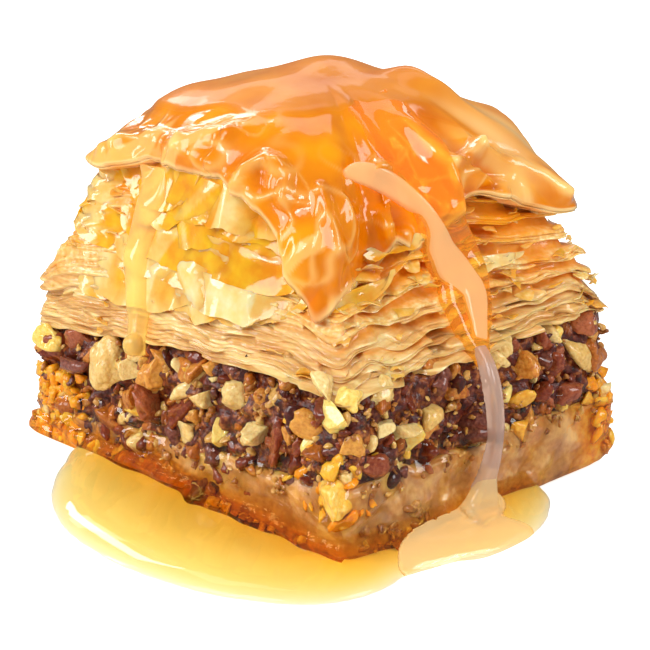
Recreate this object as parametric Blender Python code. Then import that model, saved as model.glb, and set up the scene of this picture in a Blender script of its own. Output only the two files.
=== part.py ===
"""A piece of baklava standing in the honey that has run off it.

The piece is cut as a rectangle and stands on its flat underside. From the bottom it is a soaked
pastry base, a layer of chopped nuts and a tall puffed stack of pastry leaves, whose top leaf has set into
a domed cap with a brim and a flap that hangs over the front right corner. Honey lies round the two front
sides as one flat pool. Metres, +Z up, the origin at the middle of the base's underside.
"""

import math

import bmesh
import bpy

# Driving dimensions
LENGTH = 0.056
WIDTH = 0.044
CORNER_POWER = 36.0
GAP = 0.0003

# Heights at the four corners: front left, front right, back right, back left
BASE_TOP = (0.0038, 0.0096, 0.0090, 0.0065)
FILLING_TOP = (0.0139, 0.0200, 0.0204, 0.0175)
FILLING_ARCH = 0.0018
APEX_HEIGHT = 0.0474

# The base's side: (inset from the cut outline, share of the height), from the underside up
BASE_SIDE = ((0.0008, 0.0), (0.0002, 0.12), (0.0, 0.4), (0.0003, 0.75), (0.0009, 1.0))
BASE_UNEVEN = 0.0003

# The filling's side: the shares of its height where it is lumpy, and how much it draws in at the two edges
FILLING_SHARES = (0.0, 0.12, 0.32, 0.52, 0.72, 0.9, 1.0)
FILLING_INSET = -0.0006
FILLING_TUCK = 0.0012
COARSE_LUMP = 0.0004
FINE_LUMP = 0.0003

# The leaf stack: how many steps show at its side, how deep the notch over each one is, the shares of a
# step's height where the notch opens and ends, and how far the leaves wave up and down
STEPS = 6
STEP_NOTCH = 0.0007
NOTCH_OPENS = 0.7
NOTCH_ENDS = 0.85
STACK_FOOT_INSET = 0.0004
LEAF_WAVE = 0.0005
LEAF_WAVES_ROUND = 9
LEAF_WAVE_TURN = 1.3

# Direction in degrees from +X, how far the stack leans in by its top, the height of that top, and the curve
# of the lean: under 1 it leans in most near its foot
STACK = (
    (-142.0, 0.0118, 0.0372, 1.00),
    (-110.0, 0.0058, 0.0388, 0.90),
    (-75.0, 0.0052, 0.0386, 0.80),
    (-38.0, 0.0135, 0.0340, 0.60),
    (-8.0, 0.0078, 0.0340, 0.75),
    (14.0, 0.0066, 0.0345, 0.80),
    (38.0, 0.0088, 0.0340, 1.15),
    (90.0, 0.0066, 0.0370, 0.90),
    (142.0, 0.0115, 0.0362, 0.95),
    (180.0, 0.0078, 0.0370, 0.90),
)

# The cap's shell over the stack
BRIM_UNDERCUT = 0.0024
BRIM_LIP = 0.0009
BRIM_ROLL = 0.0002
UNDERSIDE_MIDDLE = 0.2
UNDERSIDE_RISE = 0.0016
CAP_UNDERSIDE_HEIGHT = 0.0330
DOME_ROWS = 9

# The brim of the cap: (direction in degrees from +X, distance from the middle, height, slackness of the
# dome above it: 1 is a full round dome, and a higher value sags in towards the brim)
BRIM = (
    (-44.0, 0.0264, 0.0262, 1.05),
    (-36.0, 0.0246, 0.0288, 1.10),
    (-24.0, 0.0226, 0.0306, 1.15),
    (-10.0, 0.0212, 0.0325, 1.15),
    (8.0, 0.0228, 0.0362, 1.20),
    (24.0, 0.0252, 0.0350, 1.35),
    (39.0, 0.0308, 0.0322, 1.65),
    (60.0, 0.0215, 0.0360, 1.20),
    (95.0, 0.0175, 0.0382, 1.00),
    (125.0, 0.0218, 0.0368, 1.20),
    (142.0, 0.0275, 0.0350, 1.50),
    (162.0, 0.0226, 0.0366, 1.20),
    (190.0, 0.0214, 0.0370, 1.20),
    (218.0, 0.0274, 0.0356, 1.70),
    (238.0, 0.0202, 0.0376, 1.30),
    (262.0, 0.0172, 0.0388, 1.10),
    (290.0, 0.0186, 0.0382, 1.05),
    (306.0, 0.0220, 0.0352, 1.05),
)

# The pool's outer edge, from the front left side round the front right corner
POOL_EDGE = (
    (-0.0185, -0.0236),
    (-0.0152, -0.0280),
    (-0.0108, -0.0330),
    (-0.0042, -0.0374),
    (0.0050, -0.0394),
    (0.0160, -0.0386),
    (0.0262, -0.0350),
    (0.0330, -0.0290),
    (0.0346, -0.0228),
    (0.0338, -0.0168),
    (0.0350, -0.0110),
    (0.0367, -0.0056),
    (0.0364, 0.0006),
    (0.0336, 0.0066),
    (0.0297, 0.0102),
)
POOL_HEIGHT = 0.0019
POOL_MENISCUS = 0.0008
POOL_STATIONS = 44
# The pool's inner edge runs along the base's side between these directions, past the corner at this share
POOL_START = math.radians(-130.0)
POOL_END = math.radians(20.0)
POOL_CORNER_SHARE = 0.56
# The pool's top, from the base outward: (share of the way out, share of the height)
POOL_TOP = ((0.12, 1.0), (0.5, 1.0), (0.8, 0.94), (0.93, 0.7), (0.985, 0.34))

# How finely the round outlines are divided
BASE_SIDES = 72
TOP_SIDES = 72


def outline_radius(angle, inset=0.0):
    """The distance from the middle to the cut side in a direction, less an inset."""
    across = abs(math.cos(angle)) / (LENGTH / 2)
    along = abs(math.sin(angle)) / (WIDTH / 2)
    return (across**CORNER_POWER + along**CORNER_POWER) ** (-1 / CORNER_POWER) - inset


def corner_blend(corners, x, y):
    """A height that runs evenly between the four corners."""
    u = min(max(x / LENGTH + 0.5, 0.0), 1.0)
    v = min(max(y / WIDTH + 0.5, 0.0), 1.0)
    front = corners[0] * (1 - u) + corners[1] * u
    back = corners[3] * (1 - u) + corners[2] * u
    return front * (1 - v) + back * v


def filling_top(x, y):
    arch = FILLING_ARCH * (1 - (2 * x / LENGTH) ** 2)
    return corner_blend(FILLING_TOP, x, y) + max(arch, 0.0)


def base_top(x, y):
    return corner_blend(BASE_TOP, x, y)


def point_at(angle, radius, height):
    """A point in polar form. The height is a number or a function of x and y."""
    x = radius * math.cos(angle)
    y = radius * math.sin(angle)
    z = height(x, y) if callable(height) else height
    return (x, y, z)


def through(values, position):
    """A smooth value between listed ones: a Catmull-Rom curve, held at the list's two ends."""
    last = len(values) - 1
    i = min(int(position), last - 1)
    t = position - i
    a, b, c, d = (values[min(max(i + k, 0), last)] for k in (-1, 0, 1, 2))
    square = 2 * a - 5 * b + 4 * c - d
    cube = 3 * b - a - 3 * c + d
    return 0.5 * (2 * b + (c - a) * t + square * t**2 + cube * t**3)


def around(table, angle):
    """The values that a table lists by direction, read smoothly in any direction."""
    count = len(table)
    first = table[0][0]
    turn = first + (math.degrees(angle) - first) % 360.0
    rows = []
    for i in range(-1, count + 2):
        direction, *rest = table[i % count]
        rows.append((direction + 360.0 * (i // count), *rest))
    i = next(k for k in range(1, len(rows) - 1) if rows[k + 1][0] > turn)
    share = (turn - rows[i][0]) / (rows[i + 1][0] - rows[i][0])
    columns = zip(*rows[i - 1 : i + 3])
    next(columns)
    return [through(column, 1 + share) for column in columns]


def add_solid(name, mesh, colour, roughness):
    """Finishes a bmesh as one named object with its own material."""
    bmesh.ops.recalc_face_normals(mesh, faces=mesh.faces)
    bmesh.ops.triangulate(mesh, faces=mesh.faces)
    data = bpy.data.meshes.new(name)
    mesh.to_mesh(data)
    mesh.free()
    material = bpy.data.materials.new(name)
    material.use_nodes = True
    shader = material.node_tree.nodes["Principled BSDF"]
    shader.inputs["Base Color"].default_value = (*colour, 1.0)
    shader.inputs["Roughness"].default_value = roughness
    shader.inputs["Metallic"].default_value = 0.0
    data.materials.append(material)
    solid = bpy.data.objects.new(name, data)
    bpy.context.scene.collection.objects.link(solid)
    return solid


def loft(rings):
    """A closed body through closed rings of points, from the lowest to the highest, with flat ends."""
    mesh = bmesh.new()
    loops = [[mesh.verts.new(p) for p in ring] for ring in rings]
    count = len(loops[0])
    for lower, upper in zip(loops, loops[1:]):
        for i in range(count):
            j = (i + 1) % count
            mesh.faces.new((lower[i], lower[j], upper[j], upper[i]))
    mesh.faces.new(loops[0][::-1])
    mesh.faces.new(loops[-1])
    return mesh


def directions(count):
    """Directions all round, in even steps from corner to corner, so that each corner gets its own."""
    corner = math.atan2(WIDTH, LENGTH)
    corners = (-corner, corner, math.pi - corner, math.pi + corner, 2 * math.pi - corner)
    steps = count // 4
    around_it = []
    for start, end in zip(corners, corners[1:]):
        around_it += [start + (end - start) * i / steps for i in range(steps)]
    return around_it


def make_base():
    """The soaked leaves under the nuts: flat below, a little rounded at the lower edge."""
    rings = []
    for inset, share in BASE_SIDE:
        ring = []
        for angle in directions(BASE_SIDES):
            uneven = BASE_UNEVEN * math.sin(5 * angle + 9 * share) * share
            radius = outline_radius(angle, inset + uneven)
            x, y, top = point_at(angle, radius, base_top)
            ring.append((x, y, top * share))
        rings.append(ring)
    return add_solid("base_pastry", loft(rings), (0.62, 0.36, 0.14), 0.35)


def make_filling():
    """The chopped nuts, with a lumpy side."""
    rings = []
    for k, share in enumerate(FILLING_SHARES):
        inset = FILLING_INSET + FILLING_TUCK * (2 * share - 1) ** 4
        ring = []
        for angle in directions(BASE_SIDES):
            lump = COARSE_LUMP * math.sin(17 * angle + 2.3 * k)
            lump += FINE_LUMP * math.sin(29 * angle - 1.7 * k)
            radius = outline_radius(angle, inset + lump * (0 < share < 1))
            x, y, low = point_at(angle, radius, base_top)
            high = filling_top(x, y)
            ring.append((x, y, low + GAP + share * (high - low - GAP)))
        rings.append(ring)
    return add_solid("nut_filling", loft(rings), (0.30, 0.15, 0.07), 0.45)


def stack_profile(angle):
    """(distance, height) up the stepped side of the leaves."""
    lean, top, curve = around(STACK, angle)
    foot = outline_radius(angle, STACK_FOOT_INSET)
    low = point_at(angle, foot, filling_top)[2] + GAP
    profile = []
    for step in range(STEPS):
        rows = ((step, 0.0), (step + NOTCH_OPENS, 0.0), (step + NOTCH_ENDS, STEP_NOTCH))
        for place, notch in rows:
            share = place / STEPS
            wave = LEAF_WAVE * math.sin(LEAF_WAVES_ROUND * angle + LEAF_WAVE_TURN * place)
            wave *= math.sin(math.pi * share)
            profile.append((foot - lean * share**curve - notch, low + (top - low) * share + wave))
    return profile


def cap_profile(angle):
    """(distance, height) from under the middle of the cap, out to its brim and over the dome."""
    reach, lip, slackness = around(BRIM, angle)
    tuck = reach - BRIM_UNDERCUT
    profile = [
        (tuck * UNDERSIDE_MIDDLE, CAP_UNDERSIDE_HEIGHT),
        (tuck, lip + UNDERSIDE_RISE),
        (reach, lip),
        (reach + BRIM_ROLL, lip + BRIM_LIP),
    ]
    lip += BRIM_LIP
    for row in range(1, DOME_ROWS):
        turn = 0.5 * math.pi * row / DOME_ROWS
        rise = math.sin(turn) ** slackness
        profile.append((reach * math.cos(turn), lip + (APEX_HEIGHT - lip) * rise))
    return profile


def revolve(profile_at, sides):
    """A closed body whose profile changes with direction."""
    around_it = directions(sides)
    profiles = [profile_at(angle) for angle in around_it]
    rings = []
    for rows in zip(*profiles):
        rings.append([point_at(angle, *row) for angle, row in zip(around_it, rows)])
    return loft(rings)


def make_top():
    """The puffed leaves over the nuts: the stepped stack joined with the domed cap that covers it."""
    stack = add_solid("top_pastry", revolve(stack_profile, TOP_SIDES), (0.86, 0.48, 0.12), 0.3)
    cap = add_solid("cap_shape", revolve(cap_profile, TOP_SIDES), (0.86, 0.48, 0.12), 0.3)
    cap.hide_render = True
    cap.display_type = "WIRE"
    join = stack.modifiers.new("cap", "BOOLEAN")
    join.operation = "UNION"
    join.object = cap
    return stack


def pool_inner(share):
    """The point on the base's side where the pool meets it, at a share of the way along the pool."""
    corner = math.atan2(-WIDTH, LENGTH)
    if share < POOL_CORNER_SHARE:
        angle = POOL_START + (corner - POOL_START) * share / POOL_CORNER_SHARE
    else:
        past = (share - POOL_CORNER_SHARE) / (1 - POOL_CORNER_SHARE)
        angle = corner + (POOL_END - corner) * past
    return point_at(angle, outline_radius(angle, -GAP), 0.0)


def pool_section(position):
    """The pool's section at a place along its edge: from the base's side, over the top, and back below."""
    outer_x = through([p[0] for p in POOL_EDGE], position)
    outer_y = through([p[1] for p in POOL_EDGE], position)
    share = position / (len(POOL_EDGE) - 1)
    inner_x, inner_y, _ = pool_inner(share)
    taper = min(1.0, 0.45 + 6 * min(share, 1 - share))
    rows = [(0.0, POOL_HEIGHT + POOL_MENISCUS)]
    rows += [(out, POOL_HEIGHT * high) for out, high in POOL_TOP]
    rows += [(1.0, 0.0), (0.5, 0.0), (0.0, 0.0)]
    section = []
    for out, z in rows:
        x = inner_x + (outer_x - inner_x) * out
        y = inner_y + (outer_y - inner_y) * out
        section.append((x, y, z * taper))
    return section


def make_pool():
    """The honey on the table, one flat body round the two front sides."""
    steps = range(POOL_STATIONS + 1)
    span = len(POOL_EDGE) - 1
    sections = [pool_section(span * i / POOL_STATIONS) for i in steps]
    return add_solid("honey_pool", loft(sections), (0.95, 0.66, 0.12), 0.08)


def main():
    for old in list(bpy.data.objects):
        bpy.data.objects.remove(old)
    make_base()
    make_filling()
    make_top()
    make_pool()


main()
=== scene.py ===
"""The looks of a piece of baklava standing in the honey that has run off it.

Shapes are worked out in millimetres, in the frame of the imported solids, and turned into metres when a mesh
is made. From the bottom they are the soaked base, the nuts, the side of the leaf stack, the loose leaves
on it, the cap over it, and the honey on top of everything.
"""

import math
from itertools import product

import bmesh
import bpy
import numpy as np
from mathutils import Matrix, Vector
from mathutils.bvhtree import BVHTree


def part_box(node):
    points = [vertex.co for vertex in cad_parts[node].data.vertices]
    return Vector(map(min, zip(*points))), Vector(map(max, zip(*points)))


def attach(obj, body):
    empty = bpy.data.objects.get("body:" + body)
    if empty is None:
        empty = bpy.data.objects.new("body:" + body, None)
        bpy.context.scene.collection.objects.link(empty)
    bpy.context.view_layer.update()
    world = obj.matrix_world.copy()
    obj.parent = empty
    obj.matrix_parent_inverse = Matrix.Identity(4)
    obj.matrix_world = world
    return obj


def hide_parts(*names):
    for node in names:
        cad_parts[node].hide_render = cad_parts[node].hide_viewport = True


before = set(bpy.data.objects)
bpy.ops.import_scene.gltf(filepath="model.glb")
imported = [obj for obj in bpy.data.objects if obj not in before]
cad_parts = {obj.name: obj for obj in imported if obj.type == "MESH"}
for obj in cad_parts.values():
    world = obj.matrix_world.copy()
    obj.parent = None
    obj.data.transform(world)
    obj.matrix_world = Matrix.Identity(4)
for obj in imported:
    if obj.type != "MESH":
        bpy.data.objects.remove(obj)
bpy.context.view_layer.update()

MM = 0.001
SEED = 7

# -------- sizes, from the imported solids

base_low, base_high = (np.array(corner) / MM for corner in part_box("base_pastry"))
HALF_LENGTH = round((base_high[0] - base_low[0]) / 2, 1)
HALF_WIDTH = round((base_high[1] - base_low[1]) / 2, 1)
FLOOR = base_low[2]
# The cap's highest point leaves room under the top solid's for lumps
ROOM_FOR_LUMPS = 0.6
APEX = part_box("top_pastry")[1][2] / MM - ROOM_FOR_LUMPS
# How square the cut outline's corners are
CORNER_POWER = 30.0

# Directions of two of the cut corners, in degrees from +X
FRONT_LEFT = -142.0
BACK_RIGHT = 38.0

# Heights at the four corners: front left, front right, back right, back left
BASE_TOP = (3.8, 9.6, 9.0, 6.5)
FILLING_TOP = (13.9, 20.0, 20.4, 17.5)
FILLING_ARCH = 1.8

# Direction in degrees from +X, how far the leaf stack leans in by its top, the height of its top, and the
# curve of the lean: under 1 it leans in most near its foot
STACK = (
    (-142, 11, 37.2, 1.45), (-110, 5.8, 38.8, 0.95), (-75, 5.2, 38.6, 0.8),
    (-38, 13.5, 34, 0.6), (-8, 9.6, 35.4, 0.8), (14, 8.6, 35.6, 0.85),
    (38, 8.4, 34, 1.4), (90, 6.6, 37, 0.9), (142, 11.5, 36.2, 0.95),
    (180, 7.8, 37, 1.1),
)

# How puffed the leaves are in each direction: 0 is pressed together, 1 has wide gaps
PUFF = (
    (-142, 0.3), (-100, 0.12), (-60, 0.18), (-40, 0.55), (-25, 1), (25, 0.95),
    (60, 0.75), (110, 0.6), (150, 0.45), (190, 0.3),
)

# The brim of the cap: (direction, distance from the middle, height, slackness of the dome above it)
BRIM = (
    (-52, 23.4, 32.4, 1.05), (-44, 26.4, 26.4, 1.05), (-36, 24.6, 29.2, 1.1),
    (-26, 21.4, 29.6, 1.1), (-19, 21.8, 33.4, 1.1), (-10, 20.6, 31.6, 1.15),
    (0, 21.6, 34.6, 1.2), (10, 23.2, 37, 1.2), (24, 25.2, 35, 1.35),
    (38, 30.8, 32.2, 1.65), (48, 25.6, 35.4, 1.5), (62, 21, 36.4, 1.2),
    (95, 17.5, 38.2, 1), (125, 21.8, 36.8, 1.2), (142, 27.5, 35, 1.5),
    (160, 22.6, 36.6, 1.2), (190, 21.4, 37, 1.2), (218, 27.4, 35.8, 1.7),
    (238, 20.2, 37.8, 1.3), (262, 17.4, 38.8, 1.1), (282, 18.2, 38.6, 1.05),
    (298, 20.6, 36.6, 1.05),
)


def outline_radius(angle, inset=0.0):
    """The distance from the middle to the cut side in a direction, less an inset."""
    across = np.abs(np.cos(angle)) / HALF_LENGTH
    along = np.abs(np.sin(angle)) / HALF_WIDTH
    return (across**CORNER_POWER + along**CORNER_POWER) ** (-1 / CORNER_POWER) - inset


def corner_blend(corners, x, y):
    """A height that runs evenly between the four corners."""
    u = np.clip(x / (2 * HALF_LENGTH) + 0.5, 0.0, 1.0)
    v = np.clip(y / (2 * HALF_WIDTH) + 0.5, 0.0, 1.0)
    front = corners[0] * (1 - u) + corners[1] * u
    back = corners[3] * (1 - u) + corners[2] * u
    return front * (1 - v) + back * v


def filling_top(x, y):
    return corner_blend(FILLING_TOP, x, y) + FILLING_ARCH * np.maximum(1 - (x / HALF_LENGTH) ** 2, 0.0)


def base_top(x, y):
    return corner_blend(BASE_TOP, x, y)


def side_places(count):
    """Directions all round, at even distances along the cut outline."""
    corner = math.atan2(HALF_WIDTH, HALF_LENGTH)
    corners = (-corner, corner, math.pi - corner, math.pi + corner, 2 * math.pi - corner)
    sides = (HALF_WIDTH, HALF_LENGTH, HALF_WIDTH, HALF_LENGTH)
    result = []
    for start, end, half in zip(corners, corners[1:], sides):
        steps = round(count * half / (2 * (HALF_LENGTH + HALF_WIDTH)))
        middle = (start + end) / 2
        along = np.linspace(-1, 1, steps, endpoint=False)
        result.append(middle + np.arctan(along * math.tan((end - start) / 2)))
    return np.concatenate(result)


def catmull_rom(before, start, end, after, t):
    """A smooth curve from start to end as t goes from 0 to 1."""
    square = 2 * before - 5 * start + 4 * end - after
    cube = 3 * start - before - 3 * end + after
    return 0.5 * (2 * start + (end - before) * t + square * t**2 + cube * t**3)


def around(table, angle):
    """The columns that a table lists by direction, read smoothly in any direction."""
    rows = np.array(table)
    turn = rows[0, 0] + (np.degrees(angle) - rows[0, 0]) % 360.0
    i = np.searchsorted(rows[:, 0], turn, side="right") - 1
    following = rows[(i + 1) % len(rows), 0] + 360.0 * (i + 1 >= len(rows))
    t = (turn - rows[i, 0]) / (following - rows[i, 0])
    near = [(i + k) % len(rows) for k in (-1, 0, 1, 2)]
    return [catmull_rom(*(column[k] for k in near), t) for column in rows.T[1:]]


def polar(angle, radius, height):
    return np.stack(np.broadcast_arrays(radius * np.cos(angle), radius * np.sin(angle), height), axis=-1)


def from_front_left(angle):
    """Degrees round from the front left corner, -180 to 180."""
    return (np.degrees(angle) - FRONT_LEFT + 180) % 360 - 180


def peak(value, middle, width):
    """1 at the middle, falling smoothly to 0 over about a width on either side."""
    return np.exp(-(((value - middle) / width) ** 2))


# -------- noise

def smoothstep(low, high, value):
    t = np.clip((value - low) / (high - low), 0.0, 1.0)
    return t * t * (3 - 2 * t)


def lattice(ix, iy, iz, seed):
    """A repeatable random value from -1 to 1 for each whole-numbered place."""
    mask = 0xFFFFFFFF
    h = (ix * 374761393 + iy * 668265263 + iz * 974634777 + seed * 144665173) & mask
    h = ((h ^ (h >> 13)) * 1274126177) & mask
    h = ((h ^ (h >> 16)) * 668265263) & mask
    return ((h ^ (h >> 15)) & mask) / 0x7FFFFFFF - 1.0


def noise(points, scale, seed=0):
    """Smooth noise from -1 to 1 at an array of points, with lumps about one scale wide."""
    q = np.asarray(points, dtype=float) / scale
    cell = np.floor(q).astype(np.int64)
    f = q - cell
    f = f * f * (3 - 2 * f)
    total = 0.0
    for corner in product((0, 1), repeat=3):
        wx, wy, wz = (f[..., k] if far else 1 - f[..., k] for k, far in enumerate(corner))
        value = lattice(*(cell[..., k] + far for k, far in enumerate(corner)), seed)
        total = total + wx * wy * wz * value
    return total


def facets(u, v, seed):
    """A crumpled sheet: flat triangles between random heights, from -1 to 1."""
    i = np.floor(u).astype(np.int64)
    j = np.floor(v).astype(np.int64)
    f = u - i
    g = v - j
    h00, h01, h10, h11 = (lattice(i + a, j + b, 0 * i, seed) for a, b in product((0, 1), repeat=2))
    near = h00 + f * (h10 - h00) + g * (h01 - h00)
    far = h11 + (1 - f) * (h01 - h11) + (1 - g) * (h10 - h11)
    return np.where(f + g < 1, near, far)


def crumple(points, scale, seed):
    """Facets over a surface of points, turned and bent so that no two creases run alike."""
    x, y, z = (points[..., k] for k in range(3))
    turn = 0.6 + seed
    across = (x * math.cos(turn) + y * math.sin(turn)) / scale + 0.35 * noise(points, scale * 2.1, seed + 5)
    along = (y * math.cos(turn) - x * math.sin(turn)) / scale + 0.6 * z / scale
    return facets(across, along + 0.35 * noise(points, scale * 1.7, seed + 9), seed)


# -------- meshes

def srgb(red, green, blue):
    """A colour as it looks on a screen, 0 to 255, made into the linear values that shaders take."""
    values = np.array((red, green, blue)) / 255.0
    linear = np.where(values <= 0.04045, values / 12.92, ((values + 0.055) / 1.055) ** 2.4)
    return (*linear.tolist(), 1.0)


def make_piece(name, body, material, tones=None, replaced=(), sharp=180.0):
    """A mesh from a body, its points in millimetres and its polygons' corners. Edges over the sharp angle
    aren't smoothed."""
    points, polygons = body
    mesh = bpy.data.meshes.new(name)
    mesh.vertices.add(len(points))
    mesh.vertices.foreach_set("co", (points * MM).ravel())
    loops = np.concatenate([corners.ravel() for corners in polygons])
    sizes = np.concatenate([np.full(len(corners), corners.shape[1]) for corners in polygons])
    starts = np.concatenate([[0], np.cumsum(sizes)[:-1]])
    mesh.loops.add(len(loops))
    mesh.loops.foreach_set("vertex_index", loops.astype(np.int32))
    mesh.polygons.add(len(sizes))
    mesh.polygons.foreach_set("loop_start", starts.astype(np.int32))
    mesh.polygons.foreach_set("use_smooth", np.ones(len(sizes), dtype=bool))
    mesh.update(calc_edges=True)
    if sharp < 180.0:
        mesh.set_sharp_from_angle(angle=math.radians(sharp))
    for key, values in (tones or {}).items():
        layer = mesh.attributes.new(key, "FLOAT", "POINT")
        layer.data.foreach_set("value", np.asarray(values, dtype=np.float32).ravel())
    mesh.materials.append(material)
    piece = bpy.data.objects.new(name, mesh)
    bpy.context.scene.collection.objects.link(piece)
    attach(piece, "root")
    for node in replaced:
        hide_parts(node)
    return piece


def grid_faces(rows, columns, closed):
    """Corners of the quads of a grid of points. A closed grid's last column meets its first."""
    last = columns if closed else columns - 1
    r, c = np.meshgrid(np.arange(rows - 1), np.arange(last), indexing="ij")
    after = (c + 1) % columns
    corners = (r * columns + c, r * columns + after, (r + 1) * columns + after, (r + 1) * columns + c)
    return np.stack(corners, axis=-1).reshape(-1, 4)


def loft(rings):
    """Points and polygons of a closed body through rings that go round anticlockwise, from below to above."""
    rows, columns, _ = rings.shape
    points = np.concatenate([rings.reshape(-1, 3), rings[:1].mean(axis=1), rings[-1:].mean(axis=1)])
    quads = grid_faces(rows, columns, closed=True)
    here = np.arange(columns)
    after = (here + 1) % columns
    low = np.stack([np.full(columns, rows * columns), after, here], axis=-1)
    top = (rows - 1) * columns
    high = np.stack([np.full(columns, rows * columns + 1), top + here, top + after], axis=-1)
    return points, [quads, np.concatenate([low, high])]


def closed_band(rings):
    """Points and polygons of a body like a tyre: rings all round, the last joined to the first."""
    rows, columns, _ = rings.shape
    quads = grid_faces(rows, columns, closed=True)
    here = np.arange(columns)
    after = (here + 1) % columns
    last = (rows - 1) * columns
    join = np.stack([last + here, last + after, after, here], axis=-1)
    return rings.reshape(-1, 3), [np.concatenate([quads, join])]


def ring_tones(values):
    """Values for a loft's rings, with the two end points given the mean of their rings."""
    values = np.asarray(values, dtype=float)
    return np.concatenate([values.ravel(), [values[0].mean()], [values[-1].mean()]])


def shell(front, back):
    """Points and polygons of a closed thin sheet between two grids. The front faces away from the back."""
    rows, columns, _ = front.shape
    points = np.concatenate([front.reshape(-1, 3), back.reshape(-1, 3)])
    size = rows * columns
    quads = grid_faces(rows, columns, closed=False)
    first_row = np.arange(columns)
    last_row = first_row + (rows - 1) * columns
    first_column = np.arange(rows) * columns
    last_column = first_column + columns - 1
    border = np.concatenate([first_row, last_column[1:], last_row[::-1][1:], first_column[::-1][1:-1]])
    after = np.roll(border, -1)
    rim = np.stack([after, border, border + size, after + size], axis=-1)
    return points, [np.concatenate([quads, quads[:, ::-1] + size, rim])]


class Heap:
    """Gathers many small bodies into the points and polygons of one piece."""

    def __init__(self):
        self.points = []
        self.polygons = {}
        self.tones = {}
        self.count = 0

    def add(self, body, **tones):
        points, polygons = body
        for corners in polygons:
            self.polygons.setdefault(corners.shape[1], []).append(corners + self.count)
        self.points.append(points)
        for key, value in tones.items():
            self.tones.setdefault(key, []).append(np.broadcast_to(value, len(points)))
        self.count += len(points)

    def piece(self, name, material, slot, replaced=(), sharp=180.0):
        polygons = [np.concatenate(group) for group in self.polygons.values()]
        tones = {key: np.concatenate(values) for key, values in self.tones.items()}
        body = np.concatenate(self.points), polygons
        return make_piece(name, body, material, tones, replaced, sharp)


def normals_of(grid, closed=True):
    """The outward normals of a grid of points whose columns go round anticlockwise and rows go up."""
    if closed:
        across = np.roll(grid, -1, axis=1) - np.roll(grid, 1, axis=1)
    else:
        across = np.gradient(grid, axis=1)
    upward = np.gradient(grid, axis=0)
    normal = np.cross(across, upward)
    return normal / np.maximum(np.linalg.norm(normal, axis=-1, keepdims=True), 1e-9)


# -------- materials

class Shader:
    """A new material's node tree, with short calls for the nodes used here."""

    def __init__(self, name):
        self.material = bpy.data.materials.new(name)
        self.material.use_nodes = True
        self.tree = self.material.node_tree
        self.principled = self.tree.nodes["Principled BSDF"]

    def node(self, kind, **settings):
        made = self.tree.nodes.new(kind)
        for key, value in settings.items():
            setattr(made, key, value)
        return made

    def link(self, source, target):
        """Feeds an input from another node's output, or sets it to a plain value."""
        if isinstance(source, (float, int, tuple)):
            target.default_value = source
        else:
            self.tree.links.new(source, target)

    def set(self, **values):
        for key, value in values.items():
            self.link(value, self.principled.inputs[key.replace("_", " ")])

    def tone(self, key):
        return self.node("ShaderNodeAttribute", attribute_name=key).outputs["Fac"]

    def noise(self, size_mm, detail=3.0, stretch=None):
        """Noise with lumps of about a size in millimetres."""
        made = self.node("ShaderNodeTexNoise")
        self.link(1.0 / (size_mm * MM), made.inputs["Scale"])
        self.link(detail, made.inputs["Detail"])
        source = self.node("ShaderNodeNewGeometry").outputs["Position"]
        if stretch:
            stretched = self.node("ShaderNodeVectorMath", operation="MULTIPLY")
            self.link(source, stretched.inputs[0])
            self.link(stretch, stretched.inputs[1])
            source = stretched.outputs[0]
        self.link(source, made.inputs["Vector"])
        return made.outputs["Fac"]

    def ramp(self, factor, *stops):
        made = self.node("ShaderNodeValToRGB")
        band = made.color_ramp
        while len(band.elements) < len(stops):
            band.elements.new(0.5)
        for element, (place, colour) in zip(band.elements, stops):
            element.position = place
            element.color = srgb(*colour)
        self.link(factor, made.inputs["Fac"])
        return made.outputs["Color"]

    def mix(self, factor, first, second):
        made = self.node("ShaderNodeMix", data_type="RGBA")
        for source, target in zip((factor, first, second), (0, 6, 7)):
            self.link(source, made.inputs[target])
        return made.outputs[2]

    def math(self, operation, *values):
        made = self.node("ShaderNodeMath", operation=operation)
        for source, target in zip(values, made.inputs):
            self.link(source, target)
        return made.outputs[0]

    def times(self, source, factor):
        return self.math("MULTIPLY", source, factor)

    def bump(self, height, distance_mm, strength=1.0, coat=True):
        made = self.node("ShaderNodeBump")
        self.link(distance_mm * MM, made.inputs["Distance"])
        self.link(strength, made.inputs["Strength"])
        self.link(height, made.inputs["Height"])
        self.set(Normal=made.outputs["Normal"])
        if coat:
            self.set(Coat_Normal=made.outputs["Normal"])

    def soft(self, weight, depth_mm, colour=(1.0, 0.45, 0.15)):
        """Light that goes into the surface and comes out a little way off."""
        self.set(Subsurface_Weight=weight, Subsurface_Scale=depth_mm * MM, Subsurface_Radius=colour)


def leaf_material():
    """Baked leaves seen from the side: cream edges, gaps tinted a deeper orange as painted shade, amber
    above, duller where soaked.
    """
    s = Shader("leaves")
    fine = s.noise(0.7, detail=4.0)
    broad = s.noise(5.0, detail=2.0)
    pale = s.ramp(fine, (0.3, (228, 164, 78)), (0.5, (248, 202, 124)), (0.68, (255, 236, 180)))
    amber = s.ramp(broad, (0.3, (238, 134, 4)), (0.7, (252, 178, 32)))
    side = s.mix(s.tone("amber"), pale, amber)
    streaks = s.ramp(s.noise(1.0, detail=3.0, stretch=(0.12, 0.12, 2.2)),
                     (0.36, (192, 136, 74)), (0.5, (220, 170, 102)), (0.64, (244, 210, 144)))
    soaked = s.mix(s.times(s.tone("soaked"), 0.85), side, streaks)
    # Painted shade: the gaps between leaves get a deeper orange, more where they are deeper.
    s.set(Base_Color=s.mix(s.times(s.tone("gap"), 0.8), soaked, srgb(244, 150, 24)))
    s.set(Roughness=0.3, Specular_IOR_Level=0.25, Coat_Weight=0.7, Coat_Roughness=0.06, IOR=1.45)
    s.soft(0.4, 1.5)
    s.bump(s.noise(0.5, detail=2.0, stretch=(1.0, 1.0, 2.5)), 0.05, 0.6)
    return s.material


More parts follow.
